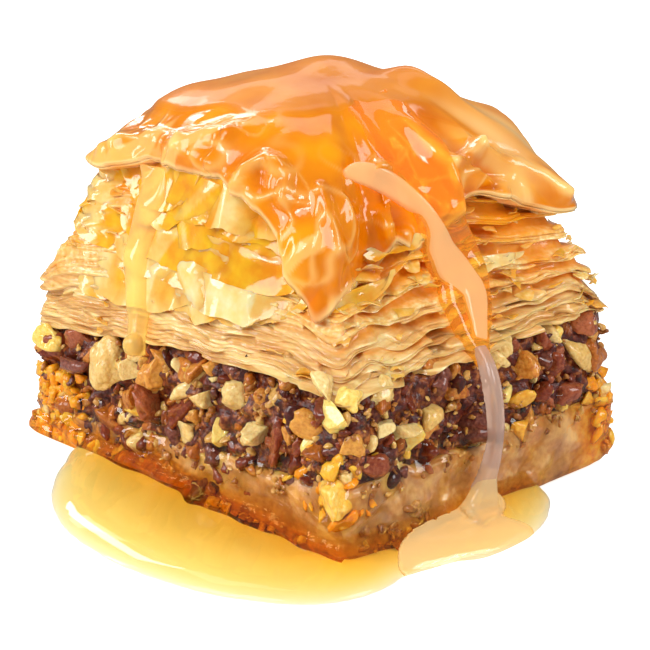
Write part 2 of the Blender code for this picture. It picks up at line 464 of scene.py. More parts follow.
def glazed_leaf_material():
    """Loose leaves under a film of syrup, each with its own share of cream and amber; part of the cream is
    painted highlight on facets.
    """
    s = Shader("glazed_leaves")
    fine = s.noise(2.2, detail=3.0)
    pale = s.ramp(fine, (0.3, (255, 206, 112)), (0.7, (255, 234, 176)))
    amber = s.ramp(fine, (0.3, (246, 142, 0)), (0.7, (255, 182, 24)))
    s.set(Base_Color=s.mix(s.tone("amber"), pale, amber))
    s.set(Roughness=0.25, Specular_IOR_Level=0.25, Coat_Weight=1.0, Coat_Roughness=0.04, IOR=1.5)
    s.soft(0.35, 1.5)
    s.bump(s.noise(0.8, detail=2.0), 0.04, 0.6)
    return s.material


def cap_material():
    """The top leaf, baked and glazed: golden, cream on its ridges partly as baked colour and partly as
    painted highlight, painted shade in its hollows, painted highlight streaks on its right shoulder, and
    duller where the glaze is thick, tinted salmon there partly as a painted sheen.
    """
    s = Shader("cap")
    broad = s.noise(7.0, detail=2.0)
    fine = s.noise(1.4, detail=4.0)
    glaze_and_sheen = s.tone("glaze_and_sheen")
    amber = s.ramp(broad, (0.3, (208, 104, 0)), (0.52, (228, 128, 0)), (0.75, (250, 162, 0)))
    mottled = s.mix(s.times(fine, 0.22), amber, srgb(255, 178, 20))
    # Ridge tone: pale cream on raised ridges as baked colour, plus painted highlight on facet patches and
    # wrinkle lines.
    cream_and_painted_highlight = s.mix(s.times(s.tone("ridge_cream_and_highlight"), 0.85), mottled, srgb(255, 218, 132))
    # Under the thick glaze a duller salmon tone: partly the glaze's own colour, partly a painted sheen.
    with_painted_sheen = s.mix(glaze_and_sheen, cream_and_painted_highlight, s.ramp(broad, (0.3, (206, 112, 14)), (0.7, (228, 142, 36))))
    # Painted shade: a deeper orange in the hollows of the relief and under the brim.
    hollow_shaded = s.mix(s.tone("hollow_shade"), with_painted_sheen, srgb(226, 118, 0))
    # Edge tone: cream at the torn brim and on the underside, plus painted highlight streaks on the right
    # shoulder.
    s.set(Base_Color=s.mix(s.tone("edge"), hollow_shaded, srgb(255, 226, 156)))
    s.set(IOR=1.48, Specular_IOR_Level=0.2, Coat_Roughness=0.04)
    s.set(Roughness=s.math("MULTIPLY_ADD", glaze_and_sheen, 0.22, 0.2))
    s.set(Coat_Weight=s.math("MULTIPLY_ADD", glaze_and_sheen, -0.55, 0.85))
    s.soft(0.12, 1.0, (1.0, 0.5, 0.1))
    s.bump(s.noise(1.0, detail=3.0), 0.04, 0.5)
    return s.material


def base_material():
    """Syrup-soaked leaves: grey-tan and a little see-through, amber in places, with a caramel crust below."""
    s = Shader("soaked_base")
    fine = s.noise(0.8, detail=5.0)
    broad = s.noise(4.0, detail=3.0)
    body = s.ramp(s.math("ADD", s.times(fine, 0.3), s.times(broad, 0.7)),
                  (0.36, (176, 112, 54)), (0.5, (206, 146, 78)), (0.64, (232, 184, 112)))
    amber = s.ramp(fine, (0.3, (230, 126, 0)), (0.5, (250, 162, 10)), (0.72, (255, 198, 70)))
    crust = s.ramp(fine, (0.3, (146, 78, 6)), (0.7, (220, 142, 34)))
    s.set(Base_Color=s.mix(s.tone("crust"), s.mix(s.tone("amber"), body, amber), crust))
    s.set(Roughness=0.3, Coat_Weight=1.0, Coat_Roughness=0.04, IOR=1.46)
    s.soft(0.6, 2.5, (1.0, 0.6, 0.3))
    s.bump(s.noise(0.7, detail=2.0), 0.12, 0.6)
    return s.material


def core_material():
    """The sticky dark paste of fine nut meal and honey between the chips."""
    s = Shader("nut_paste")
    fine = s.noise(0.8, detail=5.0)
    broad = s.noise(2.6, detail=3.0)
    meal = s.ramp(fine, (0.32, (48, 10, 4)), (0.5, (112, 42, 16)), (0.66, (186, 108, 46)))
    sticky = s.ramp(fine, (0.32, (36, 6, 6)), (0.6, (104, 30, 12)), (0.75, (150, 78, 52)))
    s.set(Base_Color=s.mix(s.ramp(broad, (0.42, (0, 0, 0)), (0.58, (255, 255, 255))), meal, sticky))
    s.set(Roughness=0.35, Specular_IOR_Level=0.2, Coat_Weight=1.0, Coat_Roughness=0.03, IOR=1.5)
    s.bump(s.noise(0.45, detail=4.0), 0.25, 1.0)
    return s.material


def nut_material(name, dark, middle, light):
    """Chips of one kind of nut, each a little different, with a grain on their cut faces."""
    s = Shader(name)
    each = s.node("ShaderNodeNewGeometry").outputs["Random Per Island"]
    grain = s.noise(0.45, detail=5.0)
    share = s.math("ADD", s.times(each, 0.5), s.times(grain, 0.8))
    s.set(Base_Color=s.ramp(share, (0.2, dark), (0.6, middle), (0.95, light)))
    s.set(Roughness=0.4, Specular_IOR_Level=0.2, Coat_Weight=1.0, Coat_Roughness=0.03, IOR=1.5)
    s.soft(0.2, 1.0)
    s.bump(s.noise(0.4, detail=4.0), 0.2, 1.0, coat=False)
    return s.material


# Kinds of honey: colour and strength of what it absorbs, how milky it is, and the colour of the milk
WHITE = (255, 255, 255)
HONEYS = {
    "honey": ((0.98, 0.80, 0.01, 1.0), 550.0, 0.0, WHITE),
    "syrup": ((0.985, 0.86, 0.04, 1.0), 430.0, 0.0, WHITE),
    "honey_run_off": ((0.99, 0.88, 0.15, 1.0), 220.0, 0.2, (250, 190, 70)),
    # The highlight band is a pale milky sheet on the stream: a painted highlight.
    "honey_highlight_band": ((0.99, 0.90, 0.7, 1.0), 100.0, 0.6, (250, 204, 140)),
    # The strand is milky honey, its grey-lavender milk colour a painted reflection of the pale surroundings.
    "honey_strand": ((0.99, 0.93, 0.85, 1.0), 100.0, 0.42, (216, 186, 168)),
    # The reflection patch is a pale milky lens on the pool: a painted reflection, merged with the strand's
    # foot.
    "honey_landing_and_reflection": ((0.99, 0.92, 0.65, 1.0), 100.0, 0.46, (248, 222, 166)),
    "honey_drip": ((0.99, 0.88, 0.25, 1.0), 180.0, 0.42, (255, 224, 134)),
}


def honey_material(name):
    """Honey, clear or a little milky. Shadow rays pass through it, so what lies under it is lit."""
    absorbed, density, milk, body = HONEYS[name]
    s = Shader(name)
    s.set(Base_Color=srgb(*body), Roughness=0.02, IOR=1.48, Transmission_Weight=1.0 - milk)
    output = s.tree.nodes["Material Output"]
    mixed = s.node("ShaderNodeMixShader")
    s.link(s.node("ShaderNodeLightPath").outputs["Is Shadow Ray"], mixed.inputs[0])
    s.link(s.principled.outputs[0], mixed.inputs[1])
    s.link(s.node("ShaderNodeBsdfTransparent").outputs[0], mixed.inputs[2])
    s.link(mixed.outputs[0], output.inputs["Surface"])
    volume = s.node("ShaderNodeVolumeAbsorption")
    s.link(absorbed, volume.inputs["Color"])
    s.link(density, volume.inputs["Density"])
    s.link(volume.outputs[0], output.inputs["Volume"])
    return s.material


# -------- the leaf stack

LEAVES = 24
LEAF_EDGE = 0.42
DEEPEST_GAP = 1.4
STACK_SIDES = 520
STACK_INSET = 0.4
STACK_SUNK = 0.4


def stack_foot(angle):
    """(radius, height) where the leaf stack meets the top of the filling."""
    radius = outline_radius(angle, STACK_INSET)
    return radius, filling_top(radius * np.cos(angle), radius * np.sin(angle))


def stack_side(angle, share):
    """(radius, height) on the smooth side of the leaf stack."""
    lean, top, curve = around(STACK, angle)
    foot, low = stack_foot(angle)
    low = low - STACK_SUNK
    share = np.maximum(share, 0.0)
    return foot - lean * share**curve, low + (top - low) * share


def leaf_wave(points, share, puff):
    """How far the leaves ripple up and down at each point."""
    ripple = noise(points * np.array((1, 1, 0.7)), 5.2, 11) + 0.5 * noise(points, 2.6, 12)
    return (0.5 + 0.9 * puff) * ripple * np.sin(np.pi * np.clip(share + 0.25, 0, 1)) ** 0.7


def leaf_starts(places, puff):
    """The share of the stack's height at which each leaf starts. Puffed leaves keep together in threes."""
    number = np.arange(LEAVES)[:, None]
    grouped = np.where(number % 3 == 0, 1.5, -0.66)
    spacing = 0.55 + 0.9 * smoothstep(0.1, 0.6, number / LEAVES)
    pitch = (1 + puff * grouped) * spacing * np.exp(0.45 * noise(places, 6.0, 21))
    total = np.cumsum(pitch, axis=0)
    return np.concatenate([np.zeros((1, len(puff))), total]) / total[-1]


def torn_edge(number, places, puff, near_corner):
    """How far a leaf's torn edge stands out along the side. At the front left corner some stick out more."""
    ragged = 0.6 * (0.4 + puff) * noise(places, 5.0, 23) + 0.16 * (0.4 + puff) * noise(places, 1.4, 24)
    ragged -= 1.3 * smoothstep(0.3, 0.6, noise(places, 2.8, 25)) * (0.25 + puff)
    if number > LEAVES // 3:
        ragged += 1.6 * near_corner * float(noise(np.array((0.55 * number, 3.0, 5.0)), 1.0, 27))
    return ragged


def make_leaf_stack(material):
    """The cut side of the stack, leaf over leaf, as one closed body."""
    angle = side_places(STACK_SIDES)
    puff = np.clip(around(PUFF, angle)[0], 0, 1)
    apart = np.arange(LEAVES)[:, None, None] * (0, 0, 37.0)
    places = polar(angle, outline_radius(angle), 0 * angle)[None] + apart
    starts = leaf_starts(places, puff)
    height = around(STACK, angle)[1] - stack_foot(angle)[1]
    near_corner = peak(from_front_left(angle), 0, 14.0)

    rings, gap_shades, shares = [], [], []
    for i in range(LEAVES):
        room = (starts[i + 1] - starts[i]) * height
        edge = np.minimum(LEAF_EDGE * (1 + 0.5 * noise(places[i], 5.0, 22)), 0.65 * room)
        gap = room - edge
        depth = np.clip((0.28 + 1.1 * puff) * gap, 0.08, DEEPEST_GAP) * (1 - 0.6 * near_corner)
        ragged = torn_edge(i, places[i], puff, near_corner)
        # Rings up one leaf's edge and the gap above it: height, how far in, and 1 in the gap
        rows = (
            (0.0 * edge, 0.3 * edge, 0.0),
            (0.25 * edge, 0.0, 0.0),
            (0.75 * edge, 0.0, 0.0),
            (edge, 0.3 * edge, 0.0),
            (edge + 0.25 * gap, depth, 1.0),
            (edge + 0.8 * gap, depth, 1.0),
        )
        for rise, inset, in_gap in rows:
            share = starts[i] + rise / height
            radius, z = stack_side(angle, share)
            points = polar(angle, radius + ragged - inset, z)
            points[..., 2] += leaf_wave(points, share, puff)
            rings.append(points)
            # Painted shade: each gap ring's share of the deeper orange, by how deep the gap is.
            gap_shades.append(in_gap * depth / DEEPEST_GAP)
            shares.append(share)
    rings, shares = np.array(rings), np.array(shares)
    amber = 0.1 + 0.9 * smoothstep(0.4, 0.9, shares) + 0.9 * noise(rings * np.array((1, 1, 2.5)), 4.0, 26)
    tones = {
        "gap": ring_tones(gap_shades),
        "amber": ring_tones(np.clip(amber, 0, 1)),
        "soaked": ring_tones(smoothstep(0.45, 0.2, shares)),
    }
    return make_piece("leaf_stack", loft(rings), material, tones, sharp=75.0)


# -------- loose leaves on the side

# Sides with leaves dragged down over them: first and last direction, how many leaves, how far they reach in
# from the ends at most, share of the stack's height under the lowest
DRAPED_SIDES = (
    (-147, -40, 9, 40, 0.38),
    (42, 138, 6, 40, 0.45),
    (142, 218, 6, 36, 0.45),
)
# Single leaves: first and last direction, share of the stack's height at their top and at their torn foot,
# how far the foot stands off, how amber they are
DRAPED = (
    (-125, -92, 0.96, 0.72, 1.2, 1),
    (-38, -20, 0.62, 0.5, 0.5, 0.6),
    (-28, -4, 0.88, 0.74, 0.7, 0.8),
    (6, 22, 0.58, 0.48, 0.6, 0.4),
)
HIGHEST = 1.02
DRAPED_ROWS = 11
DRAPED_COLUMNS_PER_DEGREE = 1.5
# How wide a leaf is for each degree, and how long it is when flat
MM_PER_DEGREE = 0.45
DRAPED_LENGTH = 14.0
FIRST_LEAF_SEED = 100
SEEDS_PER_LEAF = 11


def draped_leaf(heap, start, end, top, foot, out, amber, seed):
    """A wide crumpled leaf over the side of the stack: tucked in above, standing off along its torn foot."""
    columns = int((end - start) * DRAPED_COLUMNS_PER_DEGREE) + 8
    v = np.linspace(0, 1, DRAPED_ROWS)[:, None]
    u = np.linspace(0, 1, columns)[None]
    sideways = 2 * u - 1
    width = (end - start) * MM_PER_DEGREE
    flat = np.stack(np.broadcast_arrays(width * u, DRAPED_LENGTH * v, seed * 3.7), axis=-1)
    ends = 3.0 * noise(flat * (0, 1, 1), 2.0, seed) * sideways
    angle = np.radians(start + (end - start) * u + ends)
    torn = 0.06 * noise(flat * (1, 0, 1), 8.0, seed + 1) + 0.008 * noise(flat * (1, 0, 1), 1.3, seed + 2)
    torn += 0.035 * facets(flat[..., 0] / 3.6 + seed, 0 * flat[..., 0], seed + 7)
    foot = foot + torn + 0.8 * (top - foot) * np.abs(sideways) ** 5
    radius, z = stack_side(angle, top + (foot - top) * v)
    smooth = polar(angle, radius, z)[::-1]
    large = crumple(smooth, 4.6, seed + 3)
    panes = 0.7 * large + 0.25 * crumple(smooth, 2.4, seed + 4)
    lift = 0.2 + out * v**1.6 * (1 - 0.5 * sideways**8)
    crumpled = lift[::-1] + panes * smoothstep(0, 0.2, v)[::-1]
    front = smooth + normals_of(smooth, closed=False) * crumpled[..., None]
    thickness = 0.15 + 0.03 * noise(flat, 1.0, seed + 5)[::-1]
    back = front - normals_of(front, closed=False) * thickness[..., None]
    # Painted highlight: cream patches on the high parts of the larger facets.
    cream_and_painted_highlight = 0.55 * smoothstep(0.33, 0.43, large)
    tone = np.clip(amber + 0.5 * noise(front, 4.0, seed + 6) - cream_and_painted_highlight, 0, 1).ravel()
    heap.add(shell(front, back), amber=np.concatenate([tone, tone]))


def make_draped_leaves():
    """The leaves that the knife dragged down over the sides, most of them on the front left side."""
    heap = Heap()
    seed = FIRST_LEAF_SEED
    draw = np.random.default_rng(SEED + 1)
    for row in DRAPED:
        draped_leaf(heap, *row, seed)
        seed += SEEDS_PER_LEAF
    for start, end, count, inset, lowest in DRAPED_SIDES:
        for k in range(count):
            height = HIGHEST - (HIGHEST - lowest) * (k + draw.uniform(-0.3, 0.3)) / count
            first = start + inset * draw.uniform(0, 1) ** 2
            last = end - inset * draw.uniform(0, 1) ** 2
            amber = np.clip(2.6 * height - 0.55 + draw.uniform(-0.3, 0.2), 0, 1.2)
            foot = height - draw.uniform(0.2, 0.3)
            draped_leaf(heap, first, last, height, foot, draw.uniform(0.1, 0.35), amber, seed)
            seed += SEEDS_PER_LEAF
    return heap.piece("draped_leaves", glazed_leaf_material(), "crisp_pastry", sharp=50.0)


# Directions that scattered things are drawn from, at even distances along the cut outline
SCATTER_PLACES = side_places(4000)
FLAKES = 230
FLAKE_THICKNESS = 0.12


def flake(heap, place, across, out, size, draw):
    """A small curled shard of leaf that sticks out of the stack."""
    rows, columns = 4, 6
    v = np.linspace(0, 1, rows)[:, None]
    u = np.linspace(-1, 1, columns)[None]
    length = size * (0.3 + 0.3 * draw.uniform(0, 1))
    reach = length * (1 - 0.5 * u**4 + 0.2 * np.cos(3 * u + draw.uniform(0, 6)))
    tilt, curl = draw.uniform(-0.4, 0.4), draw.uniform(-0.5, 0.5)
    rise = tilt * v * reach + curl * v**2 * reach + 0.25 * np.sin(3 * u + draw.uniform(0, 6)) * v
    front = place + across * (u * size / 2 * (1 - 0.15 * v))[..., None] + out * (v * reach - 0.5)[..., None]
    front = front + np.array((0, 0, 1.0)) * rise[..., None]
    back = front - np.array((0, 0, FLAKE_THICKNESS))
    heap.add(shell(front, back), amber=draw.uniform(0, 0.9), gap=0.0, soaked=0.0)


def make_flakes(material):
    """Shards all over the side of the stack, more of them where it is puffed up."""
    heap = Heap()
    draw = np.random.default_rng(SEED + 4)
    while len(heap.points) < FLAKES:
        angle = draw.choice(SCATTER_PLACES, 1)
        if draw.uniform(0, 1) > 0.25 + around(PUFF, angle)[0][0]:
            continue
        share = draw.uniform(0.02, 0.98)
        place = polar(angle, *stack_side(angle, share))[0]
        turned = angle[0] + draw.uniform(-0.4, 0.4)
        out, across = polar(turned, 1.0, 0.0), polar(turned + math.pi / 2, 1.0, 0.0)
        flake(heap, place, across, out, draw.uniform(1.0, 3.4), draw)
    return heap.piece("leaf_flakes", material, "crisp_pastry", sharp=50.0)


# -------- the cap

CAP_SIDES = 620
CAP_ROWS = 94

# Creases pressed into the cap by hand: points along each, then its width and its height; hollows are below 0
FOLDS = (
    (((-18.3, -17.9, 37.4), (-12.6, -16.1, 40.5)), 2, 0.8),
    (((-15.7, -17, 39.1), (-17.4, -14, 40.7)), 2, 0.6),
    (((-11, -16, 40.8), (-5, -16.8, 40.5), (1.3, -17.5, 39.9)), 2.2, 0.9),
    (((-5.3, -16.2, 41.4), (1.1, -14.9, 43.5)), 2, 0.7),
    (((1.1, -14.9, 43.5), (1.1, -17.3, 40.2)), 1.6, 0.6),
    (((6.4, -17.7, 39.2), (6.5, -16.6, 41.6), (7.4, -15.2, 42.8), (9.7, -15.2, 42.2)), 1.6, 1),
    (((9.7, -15.2, 42.2), (11.8, -15.4, 41), (12.4, -17.2, 38.8)), 1.6, 1),
    (((8.5, -16.5, 41.3), (8.8, -17.4, 39.6)), 1.8, -0.8),
    (((15.2, -13.3, 39.6), (17, -14.5, 37.2), (18.7, -15, 34.2), (19.7, -15.9, 30)), 1.8, 1.1),
    (((17.4, -11.2, 38.3), (19.7, -10.3, 34.6), (20.4, -8.6, 33.7)), 1.6, 0.8),
    (((16.5, -8.3, 40.1), (18.9, -8.6, 37), (20.5, -7.6, 33.8)), 1.6, 1),
    (((6, 8, 46), (14, 10, 43.5), (20.3, 13.2, 39.4), (23.3, 16.8, 35.5)), 3.2, 1.1),
    (((13.4, 0.7, 44.7), (17.2, 0.8, 42.7), (20.6, 1.7, 40.1), (21.9, 1.4, 37.9)), 1.7, 1.3),
    (((14.2, 3.6, 44.6), (17.6, 5, 43), (20.2, 4.4, 40.9)), 2.6, -2.2),
    (((20.9, 2.8, 40.4), (19.2, 7, 41.4)), 1.5, 1.4),
    (((19.2, 7, 41.4), (21.6, 11.2, 39), (24.4, 16.9, 34.3)), 1.7, 1.5),
    (((21.3, 6.4, 39.9), (22.6, 9.4, 38.4)), 1.9, -2.2),
    (((22.2, 2.4, 37.3), (22.8, 7.3, 37.2)), 1.8, -1.6),
    (((16.5, -8.3, 40.1), (16.7, -5.5, 40.5), (18.4, -3.6, 39.2), (20.1, -2.3, 37.6), (21.6, -1, 35.7)),
     2, 1.2),
    (((18.2, -7, 38), (20.1, -5.2, 35.6)), 2.3, -2),
)

# Broad swells of the cap: middle, radius, height
SWELLS = (
    ((-3, 5, 47), 9, 1.3),
    ((9, 9, 45.5), 8, 1.7),
    ((14, 17, 41), 8, 2.3),
    ((-14, -8, 43), 8, 0.7),
)

# How far the thick glaze runs down from the middle of the cap in each direction; its colour there is partly a
# painted sheen
VEIL = (
    (-150, 20), (-128, 16.5), (-111, 11.6), (-86, 11), (-54, 11), (-36, 10),
    (-12, 9.6), (6, 11), (18, 13.5), (28, 21), (36, 28), (50, 20), (70, 17),
    (120, 16), (180, 17.5),
)


def cap_surface(angle, share):
    """A point on the smooth cap: share 0 is its highest point and 1 its brim."""
    reach, lip, slack = around(BRIM, angle)
    turn = 0.5 * math.pi * np.clip(share, 0, 1)
    even = np.mean((APEX - lip) * slack / reach**2) * reach**2 / (APEX - lip)
    slack = even + (slack - even) * smoothstep(0.05, 0.35, share)
    radius = reach * np.sin(turn)
    return polar(angle, radius, lip + (APEX - lip) * np.maximum(np.cos(turn), 0) ** slack)


def distance_to(points, start, end):
    """How far points are from a straight stretch between two places."""
    way = end - start
    t = np.clip(((points - start) @ way) / (way @ way), 0, 1)
    return np.linalg.norm(points - start - t[..., None] * way, axis=-1)


def fold_relief(points):
    """The height of the hand-pressed creases at points on the cap."""
    bent = points + 0.5 * np.stack([noise(points, 3.0, 141 + k) for k in range(3)], axis=-1)
    total = np.zeros(points.shape[:-1])
    for line, width, height in FOLDS:
        places = np.array(line)
        near = np.min([distance_to(bent, *pair) for pair in zip(places, places[1:])], axis=0)
        total += height * smoothstep(0, 1.15, 1 - near / width)
    for middle, radius, height in SWELLS:
        near = np.linalg.norm(points - np.array(middle), axis=-1) / radius
        total += height * np.exp(-((1.6 * near) ** 2))
    return total


def wrinkles(points):
    """1 along thin wandering lines, where the leaf has wrinkled up sharply."""
    lines = smoothstep(0.80, 1.0, 1 - np.abs(noise(points, 4.6, 48)))
    return np.maximum(lines, smoothstep(0.84, 1.0, 1 - np.abs(noise(points, 3.1, 49)))) ** 1.5


def cap_veil(points, angle):
    """1 under the thick glaze on top of the cap, 0 below its border. There the colour is also a painted
    sheen.
    """
    reach = around(VEIL, angle)[0]
    distance = np.hypot(points[..., 0], points[..., 1]) + 0.9 * noise(points, 4.0, 47)
    return smoothstep(reach + 0.7, reach - 0.7, distance)


def cap_relief(points, share, angle, glaze_and_sheen):
    """How far the crumpled leaf stands off the smooth cap. The thick glaze evens it out."""
    towards_brim = smoothstep(0.3, 0.75, share) * (1 - 0.8 * glaze_and_sheen)
    lumps = 0.5 * noise(points, 10.0, 41) + 0.25 * noise(points, 5.0, 42)
    pleats = crumple(polar(angle, 20.0, 9.0 * share), 4.2, 44)
    creases = 0.85 * crumple(points, 4.4, 45) + 0.25 * crumple(points, 2.4, 46)
    calm = 1 - 0.5 * peak(np.degrees(angle), 18.0, 22.0)
    crumpled = calm * (0.6 * pleats + creases) + 0.15 * wrinkles(points)
    return lumps + 0.3 * glaze_and_sheen + towards_brim * crumpled + fold_relief(points)


# The torn brim's underside, ring by ring from within: how far outside the brim, and how far below it
UNDERSIDE = (
    (-9.0, 0.6), (-4.0, 0.4), (-1.6, 0.6), (-0.5, 0.6), (-0.2, 0.5), (-0.5, 0.4), (-0.6, 0.34), (-0.1, 0.28),
    (0.0, 0.2), (-0.1, 0.12), (0.0, 0.06),
)


def cap_tones(smooth, rings, relief, share, angle, glaze_and_sheen):
    """How much of each colour shows on the cap's rings: first those of the underside, then up the outside."""
    below = np.zeros((len(UNDERSIDE), angle.size))
    # Painted shade: how much deeper orange the hollows get; the underside rings get some too.
    hollow_shade = smoothstep(0.15, 1.1, -relief) * smoothstep(0.3, 0.7, share)
    # Painted highlight: cream facet patches and wrinkle lines; the part from high relief is baked cream.
    patches = 0.55 * smoothstep(0.38, 0.48, crumple(smooth, 4.4, 45))
    ridge_cream_and_highlight = np.maximum(smoothstep(0.9, 1.8, relief), np.maximum(patches, 0.4 * wrinkles(smooth)))
    ridge_cream_and_highlight = ridge_cream_and_highlight * smoothstep(0.35, 0.7, share) * (1 - glaze_and_sheen)
    at_brim = np.concatenate([below + 1, smoothstep(0.955, 1.0, share) + 0 * angle])
    # Painted highlight: pale streaks on the right shoulder, added to the edge tone.
    painted_streak_place = peak(np.degrees(angle), 34.0, 17.0) * smoothstep(0.25, 0.5, share)
    streaks = 0.5 * painted_streak_place * smoothstep(-0.4, 0.5, noise(polar(angle, 20.0, 5.0 * share), 2.6, 56))
    edge = at_brim * (0.55 + 0.4 * noise(rings, 3.0, 53))
    edge = np.maximum(edge, np.concatenate([below, streaks]))
    return {
        "ridge_cream_and_highlight": ring_tones(np.concatenate([below, ridge_cream_and_highlight])),
        "hollow_shade": ring_tones(np.concatenate([below + 0.3, hollow_shade])),
        "edge": ring_tones(np.clip(edge, 0, 1)),
        "glaze_and_sheen": ring_tones(np.concatenate([below, glaze_and_sheen])),
    }


def make_cap():
    """The domed top leaf, with two thin leaves showing along its torn brim."""
    angle = side_places(CAP_SIDES)[None]
    share = np.linspace(0.02, 1.0, CAP_ROWS)[::-1, None]
    around_it = polar(angle[0], 20.0, 0 * angle[0])
    torn = 1 + 0.018 * noise(around_it, 3.0, 51) + 0.014 * noise(around_it, 1.1, 52)
    smooth = cap_surface(angle, share)
    smooth[..., :2] *= (1 + (torn - 1) * smoothstep(0.7, 1.0, share))[..., None]
    glaze_and_sheen = cap_veil(smooth, angle)
    relief = cap_relief(smooth, share, angle, glaze_and_sheen)
    outer = smooth + normals_of(smooth) * relief[..., None]
    wavy = 0.6 * noise(around_it, 3.4, 54) + 0.25 * noise(around_it, 1.3, 55)
    outer[..., 2] += wavy * smoothstep(0.8, 1.0, share)
    outward = polar(angle[0], 1.0, 0 * angle[0])
    under = [outer[0] + outward * out - np.array((0, 0, drop)) for out, drop in UNDERSIDE]
    rings = np.concatenate([np.array(under), outer])
    tones = cap_tones(smooth, rings, relief, share, angle, glaze_and_sheen)
    return make_piece("cap_leaf", loft(rings), cap_material(), tones, ["top_pastry"])


# -------- the nuts

def core_radius(angle, share):
    """How far out the nut paste reaches. It lies back under the pastry's edge."""
    return outline_radius(angle, 1.0) - 1.6 * smoothstep(0.72, 1.0, share)


def core_height(angle, share, radius):
    x, y = radius * np.cos(angle), radius * np.sin(angle)
    low = base_top(x, y)
    return low + (filling_top(x, y) - low) * share


def make_nut_core():
    """The paste that holds the chips, lumpy all over."""
    angle = side_places(560)[None]
    share = np.linspace(0, 1, 52)[:, None]
    radius = core_radius(angle, share)
    rings = polar(angle, radius, core_height(angle, share, outline_radius(angle)))
    lumps = 0.7 * noise(rings, 2.4, 61) + 0.65 * noise(rings, 1.1, 62) + 0.4 * noise(rings, 0.6, 63)
    lumps *= smoothstep(0, 0.06, share) * smoothstep(1.0, 0.94, share)
    rings += normals_of(rings) * lumps[..., None]
    return make_piece("nut_paste", loft(rings), core_material(), None, ["nut_filling"])


def ball(subdivisions):
    """The points and triangles of a round ball made of even triangles."""
    mesh = bmesh.new()
    bmesh.ops.create_icosphere(mesh, subdivisions=subdivisions, radius=1.0)
    points = np.array([vert.co[:] for vert in mesh.verts])
    triangles = np.array([[vert.index for vert in face.verts] for face in mesh.faces])
    mesh.free()
    return points, triangles


BALLS = {level: ball(level) for level in (2, 3, 4)}
# How much larger a ball starts out than the chip that is cut from it
CUT_LOSS = 1.25


def random_turn(draw):
    """The matrix of a turn, from a random quaternion."""
    turn = draw.normal(size=4)
    w, x, y, z = turn / np.linalg.norm(turn)
    return np.array((
        (1 - 2 * (y * y + z * z), 2 * (x * y - z * w), 2 * (x * z + y * w)),
        (2 * (x * y + z * w), 1 - 2 * (x * x + z * z), 2 * (y * z - x * w)),
        (2 * (x * z - y * w), 2 * (y * z + x * w), 1 - 2 * (x * x + y * y)),
    ))


def chip(heap, draw, centre, size, level, knobs):
    """One chopped piece of nut: a ball cut by a few soft faces, knobbly, stretched and turned at random."""
    points, triangles = BALLS[level]
    shape = points.copy()
    for _ in range(draw.integers(6, 11)):
        way = draw.normal(size=3)
        way /= np.linalg.norm(way)
        beyond = np.logaddexp(0, 12 * (shape @ way - draw.uniform(0.38, 0.72))) / 12
        shape = shape - beyond[:, None] * way
    where = shape + draw.uniform(0, 50, 3)
    lumps = noise(where, 0.75, 71) + 0.6 * noise(where, 0.38, 72) + 0.4 * noise(where, 0.2, 73)
    shape *= 1 + knobs * lumps[:, None]
    shape *= np.array((draw.uniform(1.0, 1.4), draw.uniform(0.8, 1.0), draw.uniform(0.55, 0.85)))
    heap.add((shape @ random_turn(draw).T * size / 2 * CUT_LOSS + centre, [triangles]))


def chip_place(angle, share, out):
    """A place for a chip at the paste's surface, or at the base's where the share is below 0."""
    foot = outline_radius(angle)
    height = np.maximum(core_height(angle, share, foot), FLOOR + CHIP_CLEARANCE)
    corner = peak(np.degrees(angle), FRONT_LEFT, 10.0)
    low = smoothstep(0.1, -0.1, share)
    return polar(angle, core_radius(angle, share) + low * (1 - 1.6 * corner) + out, height)


# How much of its size a chip is pressed into the paste, and the least height of one over the floor
PRESSED_IN = 0.14
CHIP_CLEARANCE = 0.8
# Chips that stand out: (kind, direction, share of the filling's height, how far out, size)
SHOWN_CHIPS = (
    ("pale", -41.5, 1, 1, 3.8), ("yellow", -40.6, 0.76, 1.3, 4.4),
    ("yellow", -40, -0.1, 0.9, 3.8), ("yellow", -38, 0.95, 0.9, 3.6),
    ("yellow", -139, 0.8, 1.2, 4.4), ("pale", -123.5, 0.7, 1.1, 4.4),
    ("pale", -113, 0.62, 0.9, 3.4), ("tan", -101.5, 0.6, 1.1, 4.6), ("tan", -112, 0.35, 0.9, 4),
    ("brown", -104, 0.25, 0.9, 4.4), ("pale", -79, 0.5, 0.9, 3.8), ("pale", -84, 0.72, 0.9, 2.8),
    ("pale", -66, 0.66, 0.9, 3.2), ("pale", -58, 0.32, 0.9, 4.2), ("pale", -72, 0.2, 0.9, 3),
    ("pale", -88, 0.16, 0.8, 3), ("yellow", -49, 0.62, 1, 2.2),
    ("brown", -52, 0.3, 0.9, 4), ("pale", -30, 0.55, 0.9, 3), ("pale", -24, 0.42, 0.9, 3.2),
    ("pale", -31, 0.9, 0.9, 3.4), ("tan", -18, 0.38, 0.9, 3.4), ("pale", 6, 0.84, 0.9, 3),
    ("pale", 10, 0.92, 0.9, 2.8), ("tan", 14, 0.66, 0.9, 3.2), ("pale", 24, 0.86, 0.9, 2.6),
    ("pale", 33, 0.9, 0.9, 3), ("tan", 35, 0.5, 0.8, 4),
)
CHIPS = 600
LOW_CHIPS = 70
CRUMBS = 850
# Crumbs stuck on in clusters: kind, middle and spread of their direction, lowest and highest share of the
# filling's height, how many, how far out, and how large
CRUMB_CLUSTERS = (
    ("golden", -139.5, 4, -0.45, 0.45, 200, 0.6, 1.3),
    ("golden", BACK_RIGHT, 2.5, -0.6, 0.2, 60, 0.6, 1.3),
    ("golden", -40, 5, -0.4, 0.5, 22, 0.6, 1.3),
    ("meal", -24, 4, -0.9, -0.45, 80, 0, 1),
    ("meal", -60, 9, -0.95, -0.6, 40, 0, 1),
)
